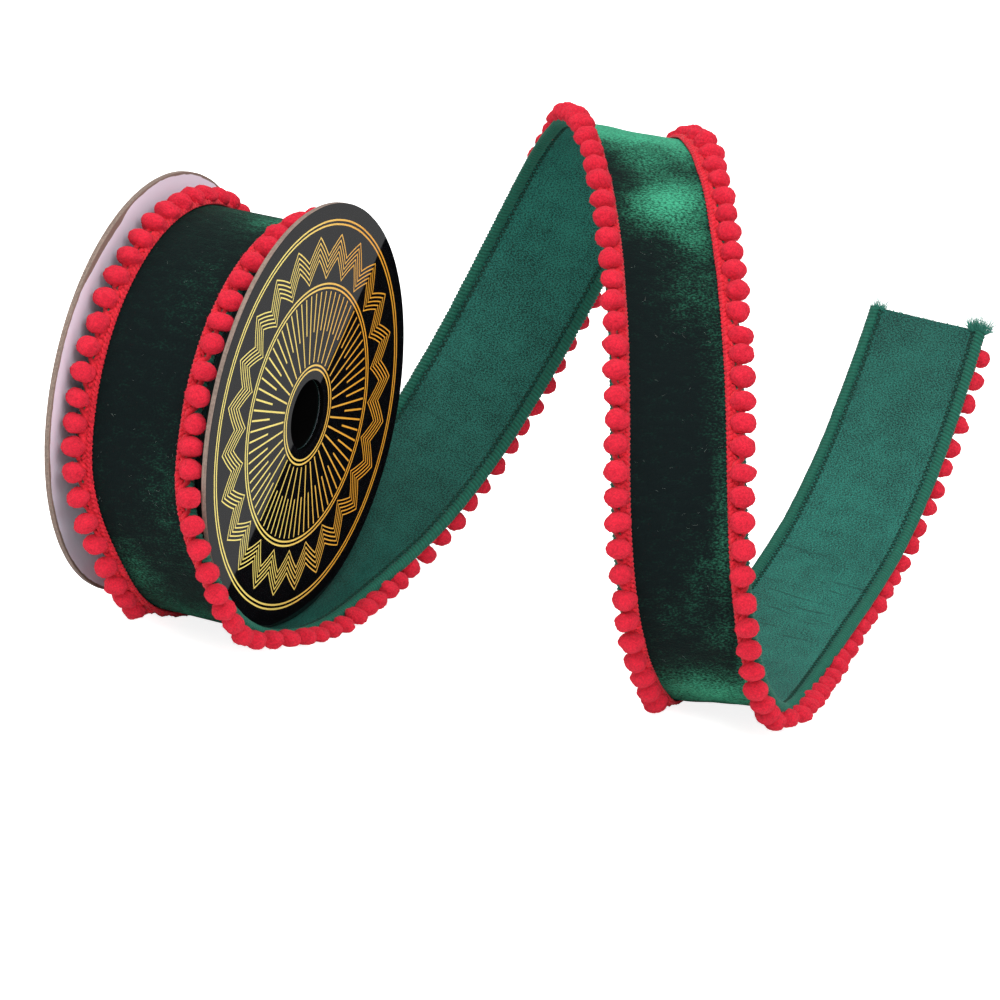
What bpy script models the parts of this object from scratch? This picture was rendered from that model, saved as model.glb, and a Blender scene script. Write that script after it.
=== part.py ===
"""A roll of pompom trim on a card spool, its loose end pulled off in one big curl.

Run it with: blender --background --python part.py, or from Blender's text editor.
Metres, +Z up. The spool's axis runs along X, with the printed front disc at +X. The origin is the middle of
the small flat on the back disc's rim, which the spool stands on. The front disc stands on the ribbon, which
passes below it, so the spool leans back a little.
"""

import math
from collections import namedtuple

import bmesh
import bpy
import numpy as np
from mathutils import Vector

# ---------------------------------------------------------------- driving dimensions, in metres
GAP = 0.0003                        # left between pieces that touch

DISC_RADIUS = 0.080
BOARD = 0.002                       # thickness of the card
SPOOL_WIDTH = 0.067                 # from outer face to outer face
HUB_RADIUS = 0.0134
FLAT_DEPTH = 0.00025                # how much of the back disc's rim is worn flat
LEAN = math.radians(2.7)            # the front disc is raised by the ribbon below it
DISC_SIDES = 72

SHEET = 0.0011                      # thickness of the ribbon
HALF_WIDTH = 0.025                  # the ribbon is 50 mm wide
ROLL_RADIUS = 0.0685                # over the turn below the loose end
ROLL_MIDDLE = 0.0343                # from the front disc's outer face to the middle of the wound ribbon
CORE_TURNS_RADIUS = 0.040           # up to here the turns have spread until they hold both discs
ROLL_SIDES = 72

START_ANGLE = math.radians(38)      # where the loose end begins on the roll, above its foremost line
LEAVE_ANGLE = math.radians(6)       # where it parts from the roll
TRIM_END_ANGLE = math.radians(52)   # below the foremost line, where the loose end hides the roll's trims

PITCH = 0.0091                      # from pompom to pompom
BRAID_IN = 0.0185                   # braid's two edges, from the ribbon's middle line
BRAID_OUT = 0.0225
BRAID_THICK = 0.0009
FLOOR_GAP = 0.0001

TRIM_START = 0.001                  # bare ribbon before the loose end's first pompom, and after its last
TRIM_END = 0.003

# The loose end's braids are built in stretches, a solid each, so that the part can stand on those on the floor.
# Each begins with this pompom of its edge, counted from the roll.
Stretch = namedtuple("Stretch", "name near far")
STRETCHES = (
    Stretch(name="drop", near=0, far=0),
    Stretch(name="floor", near=15, far=13),
    Stretch(name="curl", near=25, far=24),
    Stretch(name="dip", near=83, far=81),
    Stretch(name="end", near=90, far=90),
)

# A pompom's rings: distance from the ribbon's middle line, height over its middle plane and half length.
Ring = namedtuple("Ring", "out low high half")
HANGING = (
    Ring(out=0.0227, low=0.0009, high=0.0026, half=0.0025),
    Ring(out=0.0235, low=0.0010, high=0.0074, half=0.0037),
    Ring(out=0.0265, low=0.0010, high=0.0074, half=0.0037),
    Ring(out=0.0284, low=0.0026, high=0.0058, half=0.0018),
)
# Where the ribbon nearly touches the floor, its pompoms lie beside its edge.
SPLAYED = (
    Ring(out=0.0256, low=0.0009, high=0.0018, half=0.0025),
    Ring(out=0.0274, low=-0.0045, high=0.0020, half=0.0037),
    Ring(out=0.0306, low=-0.0045, high=0.0020, half=0.0037),
    Ring(out=0.0326, low=-0.0029, high=0.0003, half=0.0018),
)
SPLAY_BELOW = 0.0050                # room under the ribbon at which its pompoms give way

# The loose end after it parts from the roll: the ribbon's middle line in millimetres, and the direction
# across the ribbon towards its near edge, as a turn about Z from +X and a rise above the level, in degrees.
Station = namedtuple("Station", "x y z turn rise")
TAIL = (
    Station(x=32, y=-74, z=65, turn=-4, rise=5),        # down the roll's side
    Station(x=43, y=-66, z=33, turn=-8, rise=9),
    Station(x=47, y=-42, z=11, turn=-8, rise=6),
    Station(x=53, y=0, z=1.9, turn=-9, rise=0),         # flat on the floor, under the spool
    Station(x=56, y=42, z=9, turn=-9, rise=-5),
    Station(x=65, y=80, z=30, turn=-6, rise=-10),       # up behind
    Station(x=80, y=122, z=82, turn=3, rise=-16),
    Station(x=98, y=135, z=140, turn=20, rise=-17),
    Station(x=120, y=118, z=180, turn=34, rise=-10),
    Station(x=145, y=85, z=191, turn=37, rise=-4),      # over the top
    Station(x=180, y=38, z=168, turn=37, rise=-1),
    Station(x=210, y=-4, z=122, turn=31, rise=4),       # down in front
    Station(x=225, y=-20, z=78, turn=19, rise=10),
    Station(x=233, y=-10, z=35, turn=9, rise=9),
    Station(x=233, y=22, z=11, turn=5, rise=4),
    Station(x=228, y=60, z=8, turn=5, rise=1),          # flat on the floor again
    Station(x=221, y=120, z=19, turn=5, rise=-3),
    Station(x=217, y=170, z=36, turn=6, rise=-4),
    Station(x=215, y=205, z=64, turn=4, rise=-2),
    Station(x=214, y=234, z=106, turn=-2, rise=-1),     # the cut end
)

MATERIALS = {
    "card_lining": ((0.78, 0.70, 0.78), 0.7, 0.0),
    "gloss_print": ((0.006, 0.006, 0.007), 0.12, 0.0),
    "velvet": ((0.010, 0.060, 0.048), 0.8, 0.0),
    "pompom_trim": ((0.75, 0.018, 0.03), 0.95, 0.0),
}


# ---------------------------------------------------------------- scene and materials
def clear_scene():
    for obj in list(bpy.data.objects):
        bpy.data.objects.remove(obj, do_unlink=True)


def collection(name):
    made = bpy.data.collections.new(name)
    bpy.context.scene.collection.children.link(made)
    return made


def material(name):
    colour, roughness, metallic = MATERIALS[name]
    made = bpy.data.materials.get(name) or bpy.data.materials.new(name)
    made.use_nodes = True
    shader = made.node_tree.nodes["Principled BSDF"]
    shader.inputs["Base Color"].default_value = (*colour, 1.0)
    shader.inputs["Roughness"].default_value = roughness
    shader.inputs["Metallic"].default_value = metallic
    return made


def add_object(name, mesh, home, finish=None):
    made = bpy.data.objects.new(name, mesh)
    home.objects.link(made)
    if finish:
        mesh.materials.append(material(finish))
    return made


def mesh_from(name, bm):
    bmesh.ops.recalc_face_normals(bm, faces=bm.faces)
    mesh = bpy.data.meshes.new(name)
    bm.to_mesh(mesh)
    bm.free()
    return mesh


# ---------------------------------------------------------------- spool
SPOOL_HEIGHT = DISC_RADIUS * math.cos(LEAN) - FLAT_DEPTH    # of the axis where it leaves the back disc
AXIS = Vector((math.cos(LEAN), 0.0, math.sin(LEAN)))
UP = Vector((-math.sin(LEAN), 0.0, math.cos(LEAN)))         # square to the axis
FRONT = Vector((0.0, -1.0, 0.0))
# The middle of the back disc's outer face. The rim it stands on is further along X, because the spool leans.
AXIS_FOOT = Vector((-DISC_RADIUS * math.sin(LEAN) - BOARD / 2, 0.0, SPOOL_HEIGHT))


def on_spool(along, radius, angle):
    """A point at this distance along the axis, with its angle counted upwards from the foremost line."""
    return AXIS_FOOT + AXIS * along + (FRONT * math.cos(angle) + UP * math.sin(angle)) * radius


def spool_frame(home):
    """An empty whose own Z is the spool's axis. The turned pieces hang on it."""
    frame = bpy.data.objects.new("spool_frame", None)
    frame.location = AXIS_FOOT
    frame.rotation_euler = (0.0, math.pi / 2 - LEAN, 0.0)
    home.objects.link(frame)
    return frame


def floor_cutter(home):
    """A block below the floor, which presses the back disc's rim flat."""
    bpy.ops.mesh.primitive_cube_add(size=0.2, location=(0.0, 0.0, -0.1))
    cutter = bpy.context.object
    cutter.name = "floor_cutter"
    cutter.hide_render = True
    cutter.display_type = "WIRE"
    for owner in list(cutter.users_collection):
        owner.objects.unlink(cutter)
    home.objects.link(cutter)
    return cutter


def turned(name, profile, sides, frame, home, finish):
    """A closed profile of (radius, height) points, run down its outer side, turned about the frame's Z."""
    bm = bmesh.new()
    points = [bm.verts.new((radius, 0.0, height)) for radius, height in profile]
    for one, two in zip(points, points[1:] + points[:1]):
        bm.edges.new((one, two))
    mesh = bpy.data.meshes.new(name)
    bm.to_mesh(mesh)
    bm.free()
    made = add_object(name, mesh, home, finish)
    made.parent = frame
    turn = made.modifiers.new("turn", "SCREW")
    turn.axis = "Z"
    turn.steps = sides
    turn.render_steps = sides
    turn.use_merge_vertices = True
    turn.merge_threshold = 0.00001
    turn.use_smooth_shade = False
    return made


def disc(name, outer_face, frame, home, finish):
    """A card disc whose lower face lies at this height on the spool's frame."""
    profile = [
        (DISC_RADIUS, outer_face + BOARD),
        (DISC_RADIUS, outer_face),
        (HUB_RADIUS, outer_face),
        (HUB_RADIUS, outer_face + BOARD),
    ]
    return turned(name, profile, DISC_SIDES, frame, home, finish)


def press_flat(obj, cutter):
    cut = obj.modifiers.new("flat", "BOOLEAN")
    cut.operation = "DIFFERENCE"
    cut.solver = "EXACT"
    cut.object = cutter


# ---------------------------------------------------------------- wound ribbon
LAYER = SHEET + GAP                                         # one turn of the outer ribbon
ROLL_LOW = SPOOL_WIDTH - ROLL_MIDDLE - HALF_WIDTH
ROLL_HIGH = SPOOL_WIDTH - ROLL_MIDDLE + HALF_WIDTH


def roll_profile():
    """(distance along the axis, radius) from the back disc to the front disc."""
    return [
        (BOARD + GAP, HUB_RADIUS),
        (BOARD + GAP, CORE_TURNS_RADIUS),
        (ROLL_LOW, CORE_TURNS_RADIUS),
        (ROLL_LOW, ROLL_RADIUS),
        (ROLL_HIGH, ROLL_RADIUS),
        (ROLL_HIGH, CORE_TURNS_RADIUS),
        (SPOOL_WIDTH - BOARD - GAP, CORE_TURNS_RADIUS),
        (SPOOL_WIDTH - BOARD - GAP, HUB_RADIUS),
    ]


def wound_roll(home):
    """A tube whose outer turn stands one layer higher where the loose end's own turn begins."""
    bm = bmesh.new()
    rings = []
    for along, radius in roll_profile():
        ring = []
        for k in range(ROLL_SIDES + 1):
            share = k / ROLL_SIDES
            lift = LAYER * (1.0 - share) if radius == ROLL_RADIUS else 0.0
            angle = START_ANGLE + 2 * math.pi * share - (k == ROLL_SIDES) * 0.002
            ring.append(bm.verts.new(on_spool(along, radius + lift, angle)))
        rings.append(ring)
    for ring, after in zip(rings, rings[1:] + rings[:1]):
        for k in range(ROLL_SIDES + 1):
            m = (k + 1) % (ROLL_SIDES + 1)
            bm.faces.new((ring[k], ring[m], after[m], after[k]))
    return add_object("ribbon_roll", mesh_from("ribbon_roll", bm), home, "velvet")


# ---------------------------------------------------------------- path of the ribbon
def natural_spline(knots, values):
    """A function that runs smoothly through the values, rows of numbers at the knots."""
    n = len(knots)
    gaps = np.diff(knots)
    slopes = np.diff(values, axis=0) / gaps[:, None]
    system = np.eye(n)
    right = np.zeros_like(values)
    for i in range(1, n - 1):
        system[i, i - 1:i + 2] = gaps[i - 1], 2 * (gaps[i - 1] + gaps[i]), gaps[i]
        right[i] = 6 * (slopes[i] - slopes[i - 1])
    bends = np.linalg.solve(system, right)

    def value(at):
        i = int(np.clip(np.searchsorted(knots, at) - 1, 0, n - 2))
        a, b = knots[i + 1] - at, at - knots[i]
        cubic = (bends[i] * a ** 3 + bends[i + 1] * b ** 3) / (6 * gaps[i])
        start = values[i] / gaps[i] - bends[i] * gaps[i] / 6
        end = values[i + 1] / gaps[i] - bends[i + 1] * gaps[i] / 6
        return cubic + start * a + end * b

    return value


def across_from(turn, rise):
    turn, rise = math.radians(turn), math.radians(rise)
    level = math.cos(rise)
    return Vector((level * math.cos(turn), level * math.sin(turn), math.sin(rise)))


class RibbonPath:
    """The ribbon's middle line, by length along it, with the direction across the ribbon."""

    def __init__(self, points, acrosses, spacing=0.0005):
        rows = np.array([(*p, *a) for p, a in zip(points, acrosses)])
        chords = np.linalg.norm(np.diff(rows[:, :3], axis=0), axis=1)
        knots = np.concatenate(([0.0], np.cumsum(chords)))
        curve = natural_spline(knots, rows)
        count = int(knots[-1] / spacing)
        fine = np.array([curve(knots[-1] * k / count) for k in range(count + 1)])
        steps = np.linalg.norm(np.diff(fine[:, :3], axis=0), axis=1)
        self.lengths = np.concatenate(([0.0], np.cumsum(steps)))
        self.fine = fine
        self.length = float(self.lengths[-1])

    def row(self, at):
        return np.array([np.interp(at, self.lengths, self.fine[:, k]) for k in range(6)])

    def ruling(self, at):
        """The middle line's point at this length, and the unit vector across the ribbon there."""
        here = self.row(at)
        before = self.row(max(at - 0.002, 0.0))
        after = self.row(min(at + 0.002, self.length))
        along = Vector(after[:3] - before[:3]).normalized()
        across = Vector(here[3:])
        return Vector(here[:3]), (across - along * across.dot(along)).normalized()

    def frame(self, at, over):
        """The middle plane's point this far across, and unit vectors along, across and out of the velvet."""
        middle, across = self.ruling(at)
        ahead, ahead_across = self.ruling(min(at + 0.001, self.length))
        behind, behind_across = self.ruling(max(at - 0.001, 0.0))
        along = ahead - behind + (ahead_across - behind_across) * over
        along = (along - across * along.dot(across)).normalized()
        return middle + across * over, along, across, along.cross(across)

    def point(self, at, over, out):
        """The point this far across the ribbon from its middle line, and this far out of its middle plane."""
        place, _, _, outward = self.frame(at, over)
        return place + outward * out


def tail_path():
    """From the loose end's start on the roll, just clear of the turn it belongs to, to its cut end."""
    points = []
    for k in range(5):
        angle = START_ANGLE - 0.01 + (LEAVE_ANGLE - START_ANGLE) * k / 4
        lift = LAYER * (START_ANGLE - angle) / (2 * math.pi)
        points.append(on_spool(SPOOL_WIDTH - ROLL_MIDDLE, ROLL_RADIUS + lift + 1.5 * GAP + SHEET / 2, angle))
    acrosses = [AXIS] * len(points)
    for row in TAIL:
        points.append(Vector((row.x, row.y, row.z)) / 1000)
        acrosses.append(across_from(row.turn, row.rise))
    return RibbonPath(points, acrosses)


def roll_path():
    """Once round the roll behind the loose end's start, on the top of its outer turn."""
    first = START_ANGLE + math.radians(1.0)
    last = 2 * math.pi - TRIM_END_ANGLE
    points = []
    for k in range(61):
        share = k / 60
        angle = first + (last - first) * share
        lift = LAYER * (1.0 - (angle - START_ANGLE) / (2 * math.pi))
        points.append(on_spool(SPOOL_WIDTH - ROLL_MIDDLE, ROLL_RADIUS + lift - SHEET / 2, angle))
    points.reverse()
    return RibbonPath(points, [AXIS] * len(points))


# ---------------------------------------------------------------- loose end
def trim_lengths(start, end):
    """Where one pompom's share of the braid ends and the next begins."""
    return [start + PITCH * k for k in range(int((end - start) / PITCH) + 1)]


def ribbon_tail(path, home):
    """A sheet with corners under those of its braids, so that they lie evenly on it where it twists."""
    columns = (-HALF_WIDTH, -BRAID_OUT, -BRAID_IN, BRAID_IN, BRAID_OUT, HALF_WIDTH)
    bm = bmesh.new()
    rows = []
    for at in [0.0, *trim_lengths(TRIM_START, path.length - TRIM_END), path.length]:
        rows.append([bm.verts.new(path.point(at, over, 0.0)) for over in columns])
    for row, after in zip(rows, rows[1:]):
        for j in range(len(columns) - 1):
            bm.faces.new((row[j], after[j], after[j + 1], row[j + 1]))
    made = add_object("ribbon_tail", mesh_from("ribbon_tail", bm), home, "velvet")
    shell = made.modifiers.new("thickness", "SOLIDIFY")
    shell.thickness = SHEET
    shell.offset = 0.0
    shell.use_even_offset = True
    return made


# ---------------------------------------------------------------- braid and pompoms
def ring_corners(path, at, side, ring):
    """The four corners of a pompom's ring, in the order of the braid's outer face."""
    places = ((-ring.half, ring.low), (ring.half, ring.low), (ring.half, ring.high), (-ring.half, ring.high))
    place, along, _, outward = path.frame(at, side * ring.out)
    corners = [place + along * s + outward * h for s, h in places]
    return [Vector((c.x, c.y, max(c.z, FLOOR_GAP))) for c in corners]


def pompom_rings(path, at, side):
    """Rings of the pompom at this length: hanging over the edge, or beside it where there is no room."""
    edge, _, _, outward = path.frame(at, side * HALF_WIDTH)
    room = edge.z / -outward.z if outward.z < -0.3 else 1.0
    shape = SPLAYED if room < SPLAY_BELOW else HANGING
    return [ring_corners(path, at, side, ring) for ring in shape]


def trim(name, path, side, lengths, shy, home):
    """A braid strip along one edge of the ribbon, with each pompom drawn out of its outer face. If it is shy,
    it begins a gap late, on the straight faces that it would have had, clear of the stretch before it."""
    low = SHEET / 2 + GAP
    high = low + BRAID_THICK
    corners = ((BRAID_IN, low), (BRAID_OUT, low), (BRAID_OUT, high), (BRAID_IN, high))
    places = [[path.point(at, side * over, out) for over, out in corners] for at in lengths]
    if shy:
        places[0] = [one.lerp(two, GAP / PITCH) for one, two in zip(places[0], places[1])]
    bm = bmesh.new()
    sections = [[bm.verts.new(place) for place in row] for row in places]
    bm.faces.new(sections[0])
    bm.faces.new(sections[-1])
    for at, one, two in zip(lengths, sections, sections[1:]):
        for a, b in ((0, 1), (2, 3), (3, 0)):
            bm.faces.new((one[a], one[b], two[b], two[a]))
        ring = [one[1], two[1], two[2], one[2]]
        for corners_of_ring in pompom_rings(path, at + PITCH / 2, side):
            after = [bm.verts.new(c) for c in corners_of_ring]
            for a in range(4):
                b = (a + 1) % 4
                bm.faces.new((ring[a], ring[b], after[b], after[a]))
            ring = after
        bm.faces.new(ring)
    return add_object(name, mesh_from(name, bm), home, "pompom_trim")


def tail_trims(path, home):
    lengths = trim_lengths(TRIM_START, path.length - TRIM_END)
    for edge, side in (("near", 1), ("far", -1)):
        firsts = [getattr(stretch, edge) for stretch in STRETCHES]
        for stretch, first, last in zip(STRETCHES, firsts, [*firsts[1:], len(lengths) - 1]):
            name = f"tail_trim_{edge}_{stretch.name}"
            trim(name, path, side, lengths[first:last + 1], first > 0, home)


# ---------------------------------------------------------------- whole part
def main():
    clear_scene()
    parts = collection("roll_of_pompom_trim")
    helpers = collection("helpers")
    frame = spool_frame(helpers)

    back = disc("back_disc", 0.0, frame, parts, "card_lining")
    press_flat(back, floor_cutter(helpers))
    disc("front_disc", SPOOL_WIDTH - BOARD, frame, parts, "gloss_print")
    wound_roll(parts)

    tail = tail_path()
    ribbon_tail(tail, parts)
    tail_trims(tail, parts)

    roll = roll_path()
    lengths = trim_lengths(0.0, roll.length)
    trim("roll_trim_near", roll, 1, lengths, False, parts)
    trim("roll_trim_far", roll, -1, lengths, False, parts)


main()
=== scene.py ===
"""Dresses the roll of pompom trim: card discs, velvet ribbon, overlocked edges, braid and pompoms.

Metres, +Z up. The file is laid out as an add-on, with one operator for each group of pieces.
"""

import math
from collections import namedtuple

import bmesh
import bpy
import numpy as np
from bpy.props import FloatProperty, FloatVectorProperty, IntProperty, PointerProperty
from mathutils import Matrix, Vector


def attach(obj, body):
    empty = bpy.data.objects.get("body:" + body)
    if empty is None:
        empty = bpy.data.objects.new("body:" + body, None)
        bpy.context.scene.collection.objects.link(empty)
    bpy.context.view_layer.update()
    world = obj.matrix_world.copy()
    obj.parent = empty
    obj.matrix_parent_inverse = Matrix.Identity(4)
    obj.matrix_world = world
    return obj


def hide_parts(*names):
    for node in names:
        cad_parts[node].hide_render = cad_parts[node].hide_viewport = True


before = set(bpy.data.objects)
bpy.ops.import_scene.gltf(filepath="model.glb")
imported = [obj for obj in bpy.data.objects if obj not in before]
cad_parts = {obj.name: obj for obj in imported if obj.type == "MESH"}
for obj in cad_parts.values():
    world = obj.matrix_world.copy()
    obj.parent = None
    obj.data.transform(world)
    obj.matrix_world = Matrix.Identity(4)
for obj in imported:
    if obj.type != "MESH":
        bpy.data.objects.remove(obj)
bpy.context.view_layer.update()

bl_info = {
    "name": "Roll of Pompom Trim",
    "version": (1, 0, 0),
    "blender": (4, 5, 0),
    "location": "View3D > Sidebar > Pompom Trim",
    "description": "Builds the discs, ribbon, braid and pompoms of a spool of pompom trim",
    "category": "Object",
}

# ---------------------------------------------------------------- sizes that the solids share, in metres
GAP = 0.0003  # between one piece and the next
DISC_RADIUS = 0.080
BOARD = 0.002  # thickness of a disc
SPOOL_WIDTH = 0.067
HUB_RADIUS = 0.0134
FLAT_DEPTH = 0.00025  # of the flat that the back disc stands on
LEAN = math.radians(2.7)  # the front disc is raised by the ribbon below it

SHEET = 0.0011  # thickness of the ribbon
HALF_WIDTH = 0.025
ROLL_RADIUS = 0.0685  # over the turn below the loose end
ROLL_ALONG = SPOOL_WIDTH - 0.0343  # of the wound ribbon's middle line, on the axis
CORE_TURNS_RADIUS = 0.040  # up to here the turns have spread until they hold both discs
LAYER = SHEET + GAP  # from one turn to the next

START_ANGLE = math.radians(38)  # where the loose end's own turn begins, above the roll's foremost line
LEAVE_ANGLE = math.radians(6)  # where it parts from the roll
TRIM_END_ANGLE = math.radians(52)  # below the foremost line, where the loose end hides the roll's trims

PITCH = 0.0091  # from pompom to pompom
TRIM_START = 0.001  # bare ribbon before the loose end's first pompom, and after its last
TRIM_END = 0.003
STRETCHES = ("drop", "floor", "curl", "dip", "end")

# The ribbon after it parts from the roll: its middle line in millimetres, and the direction across it
# towards its near edge, as a turn about Z from +X and a rise above the level, in degrees.
Station = namedtuple("Station", "x y z turn rise")
TAIL = [Station(*row) for row in (
    (32, -74, 65, -4, 5),  # down the roll's side
    (43, -66, 33, -8, 9),
    (47, -42, 11, -8, 6),
    (53, 0, 1.9, -9, 0),  # flat on the floor, under the spool
    (56, 42, 9, -9, -5),
    (65, 80, 30, -6, -10),  # up behind
    (80, 122, 82, 3, -16),
    (98, 135, 140, 20, -17),
    (120, 118, 180, 34, -10),
    (145, 85, 191, 37, -4),  # over the top
    (180, 38, 168, 37, -1),
    (210, -4, 122, 31, 4),  # down in front
    (225, -20, 78, 19, 10),
    (233, -10, 35, 9, 9),
    (233, 22, 11, 5, 4),
    (228, 60, 8, 5, 1),  # flat on the floor again
    (221, 120, 19, 5, -3),
    (217, 170, 36, 6, -4),
    (215, 205, 64, 4, -2),
    (214, 234, 106, -2, -1),  # the cut end
)]

AXIS = Vector((math.cos(LEAN), 0.0, math.sin(LEAN)))
UP = Vector((-math.sin(LEAN), 0.0, math.cos(LEAN)))
FRONT = Vector((0.0, -1.0, 0.0))
SPOOL_HEIGHT = DISC_RADIUS * math.cos(LEAN) - FLAT_DEPTH
AXIS_FOOT = Vector((-DISC_RADIUS * math.sin(LEAN) - BOARD / 2, 0.0, SPOOL_HEIGHT))

MM = 0.001
TAU = 2 * math.pi
SIDES = {"far": -1, "near": 1}  # the ribbon's two edges


# ---------------------------------------------------------------- settings that a user may change
def number(label, about, default, **more):
    return FloatProperty(name=label, description=about, default=default, **more)


def length(label, about, default):
    return number(label, about, default, min=0.0, unit="LENGTH", precision=5)


def degrees(label, about, default):
    return number(label, about, math.radians(default), unit="ROTATION")


def colour(label, about, default):
    return FloatVectorProperty(name=label, description=about, subtype="COLOR", size=3, min=0.0, max=1.0,
                               default=default)


class DiscSettings(bpy.types.PropertyGroup):
    """Sizes and colours of the two card discs."""
    print_colour: colour("Print", "Gloss black of the front disc's printed face", (0.004, 0.004, 0.005))
    # Painted reflection: the gold is lighter on the left, where the foil mirrors the light, and deeper on
    # the right.
    gold_light: colour("Light gold", "Gold of the printed lines on the left", (1.0, 0.83, 0.22))
    gold_deep: colour("Deep gold", "Gold of the printed lines on the right", (1.0, 0.45, 0.045))
    line_width: length("Line width", "Width of the printed gold lines", 0.0007)
    lining_colour: colour("Lining", "Paper on the discs' other faces", (0.87, 0.84, 0.975))
    board_colour: colour("Board", "Raw edge of the card", (0.30, 0.22, 0.18))


class RibbonSettings(bpy.types.PropertyGroup):
    """Sizes and colours of the ribbon and its overlocked edges."""
    pile_dark: colour("Dark pile", "Velvet that is seen into", (0.0032, 0.0075, 0.0080))
    # Painted sheen: the bright pile stands for velvet that catches the light.
    pile_bright: colour("Bright pile", "Velvet that is brushed over", (0.060, 0.42, 0.24))
    satin_colour: colour("Satin", "Back of the ribbon", (0.028, 0.270, 0.205))
    # The satin's shade is the deeper threads' tone, also used as painted shade in creases and on the wound
    # turns' sides.
    satin_shade: colour("Satin shade", "Threads that lie deeper in the ribbon's back", (0.004, 0.034, 0.030))
    thread_colour: colour("Edge thread", "Overlocking thread", (0.011, 0.160, 0.104))
    # The stitches are dark thread, darkened further as painted shade of their groove.
    stitch_colour: colour("Stitches", "Thread of the seam inside the overlocked edge", (0.004, 0.055, 0.036))
    cell: length("Cell", "Length of the ribbon's mesh cells", 0.0018)
    fray_colour: colour("Fray", "Loose threads of the cut", (0.050, 0.34, 0.25))
    fray_thick: length("Fray thickness", "Half the thickness of a loose thread", 0.00013)
    rib_pitch: length("Rib pitch", "From one overlocking stitch to the next", 0.0015)


class TrimSettings(bpy.types.PropertyGroup):
    """Sizes and colours of the braid and its pompoms."""
    felt_colour: colour("Felt", "Red of the pompoms", (0.98, 0.028, 0.062))
    braid_colour: colour("Braid", "Red of the braid", (0.88, 0.019, 0.042))
    pompom_along: length("Pompom length", "Half the pompom's size along the ribbon", 0.0038)
    pompom_across: length("Pompom reach", "Half the pompom's size across the ribbon", 0.0046)
    pompom_out: length("Pompom height", "Half the pompom's size out of the ribbon", 0.0039)
    strand: number("Strands", "Thickness of the braid's strands, as a share", 1.0, min=0.1)
    fibres: IntProperty(name="Fibres", description="Loose fibres on each pompom", default=190, min=0)
    seed: IntProperty(name="Seed", description="Start of the random draws", default=7)


class StageSettings(bpy.types.PropertyGroup):
    """Floor, lights and camera."""
    floor_colour: colour("Floor", "Pale seamless floor", (0.92, 0.92, 0.92))
    floor_lift: number("Floor lift", "How much whiter the floor is shown than it is", 0.85, min=0.0)
    board_glow: number("Board glow", "Brightness of the board that the disc mirrors", 0.43, min=0.0)
    sky_strength: number("Sky", "Strength of the light from all round", 0.72)
    key_power: number("Key", "Power of the main soft light", 14.0, unit="POWER")
    top_power: number("Top", "Power of the light overhead", 9.0, unit="POWER")
    fill_power: number("Fill", "Power of the light from the left", 6.0, unit="POWER")
    camera_distance: length("Camera distance", "From the front disc's middle to the camera", 2.522)
    camera_turn: degrees("Camera turn", "Towards the spool's front, from square on to it", 23.3)
    camera_rise: degrees("Camera rise", "Above the level", 18.0)
    camera_roll: degrees("Camera roll", "About its own line of sight", 7.47)
    camera_lens: number("Lens", "Focal length", 0.2446, unit="CAMERA")


# ---------------------------------------------------------------- places on the spool and along the ribbon
NEARBY = 0.001  # step along the ribbon from which its directions are taken
HIDDEN_ANGLE = math.radians(6)  # how far the ribbon's hidden end stays short of a full turn
TURN_STEP = math.radians(8)
JOIN_ROWS = 5  # of the path, from where the loose end's turn begins to where it parts from the roll
JOIN_ANGLE = START_ANGLE - 0.01


def on_spool(along, radius, angle):
    """A point at this distance along the axis, with its angle counted upwards from the foremost line."""
    return AXIS_FOOT + AXIS * along + (FRONT * math.cos(angle) + UP * math.sin(angle)) * radius


def natural_spline(knots, values):
    """A function that runs smoothly through the values, rows of numbers at the knots."""
    n = len(knots)
    gaps = np.diff(knots)
    slopes = np.diff(values, axis=0) / gaps[:, None]
    system = np.eye(n)
    right = np.zeros_like(values)
    for i in range(1, n - 1):
        system[i, i - 1:i + 2] = gaps[i - 1], 2 * (gaps[i - 1] + gaps[i]), gaps[i]
        right[i] = 6 * (slopes[i] - slopes[i - 1])
    bends = np.linalg.solve(system, right)

    def value(at):
        i = np.clip(np.searchsorted(knots, at) - 1, 0, n - 2)
        gap = gaps[i][:, None]
        a = (knots[i + 1] - at)[:, None]
        b = (at - knots[i])[:, None]
        cubic = (bends[i] * a ** 3 + bends[i + 1] * b ** 3) / (6 * gap)
        start = values[i] / gap - bends[i] * gap / 6
        end = values[i + 1] / gap - bends[i + 1] * gap / 6
        return cubic + start * a + end * b

    return value


def unit(rows):
    return rows / np.linalg.norm(rows, axis=-1, keepdims=True)


def square_to(rows, ways):
    """The rows without their share along the ways, which are unit vectors."""
    return rows - ways * np.sum(rows * ways, axis=1, keepdims=True)


def spread_to(value, rows):
    """One number, or one for each row, as a column with as many rows."""
    return np.broadcast_to(np.asarray(value, dtype=float), len(rows))[:, None]


def run_length(rows):
    """How far along a line each of its points lies."""
    return np.concatenate(((0.0,), np.cumsum(np.linalg.norm(np.diff(rows, axis=0), axis=1))))


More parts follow.
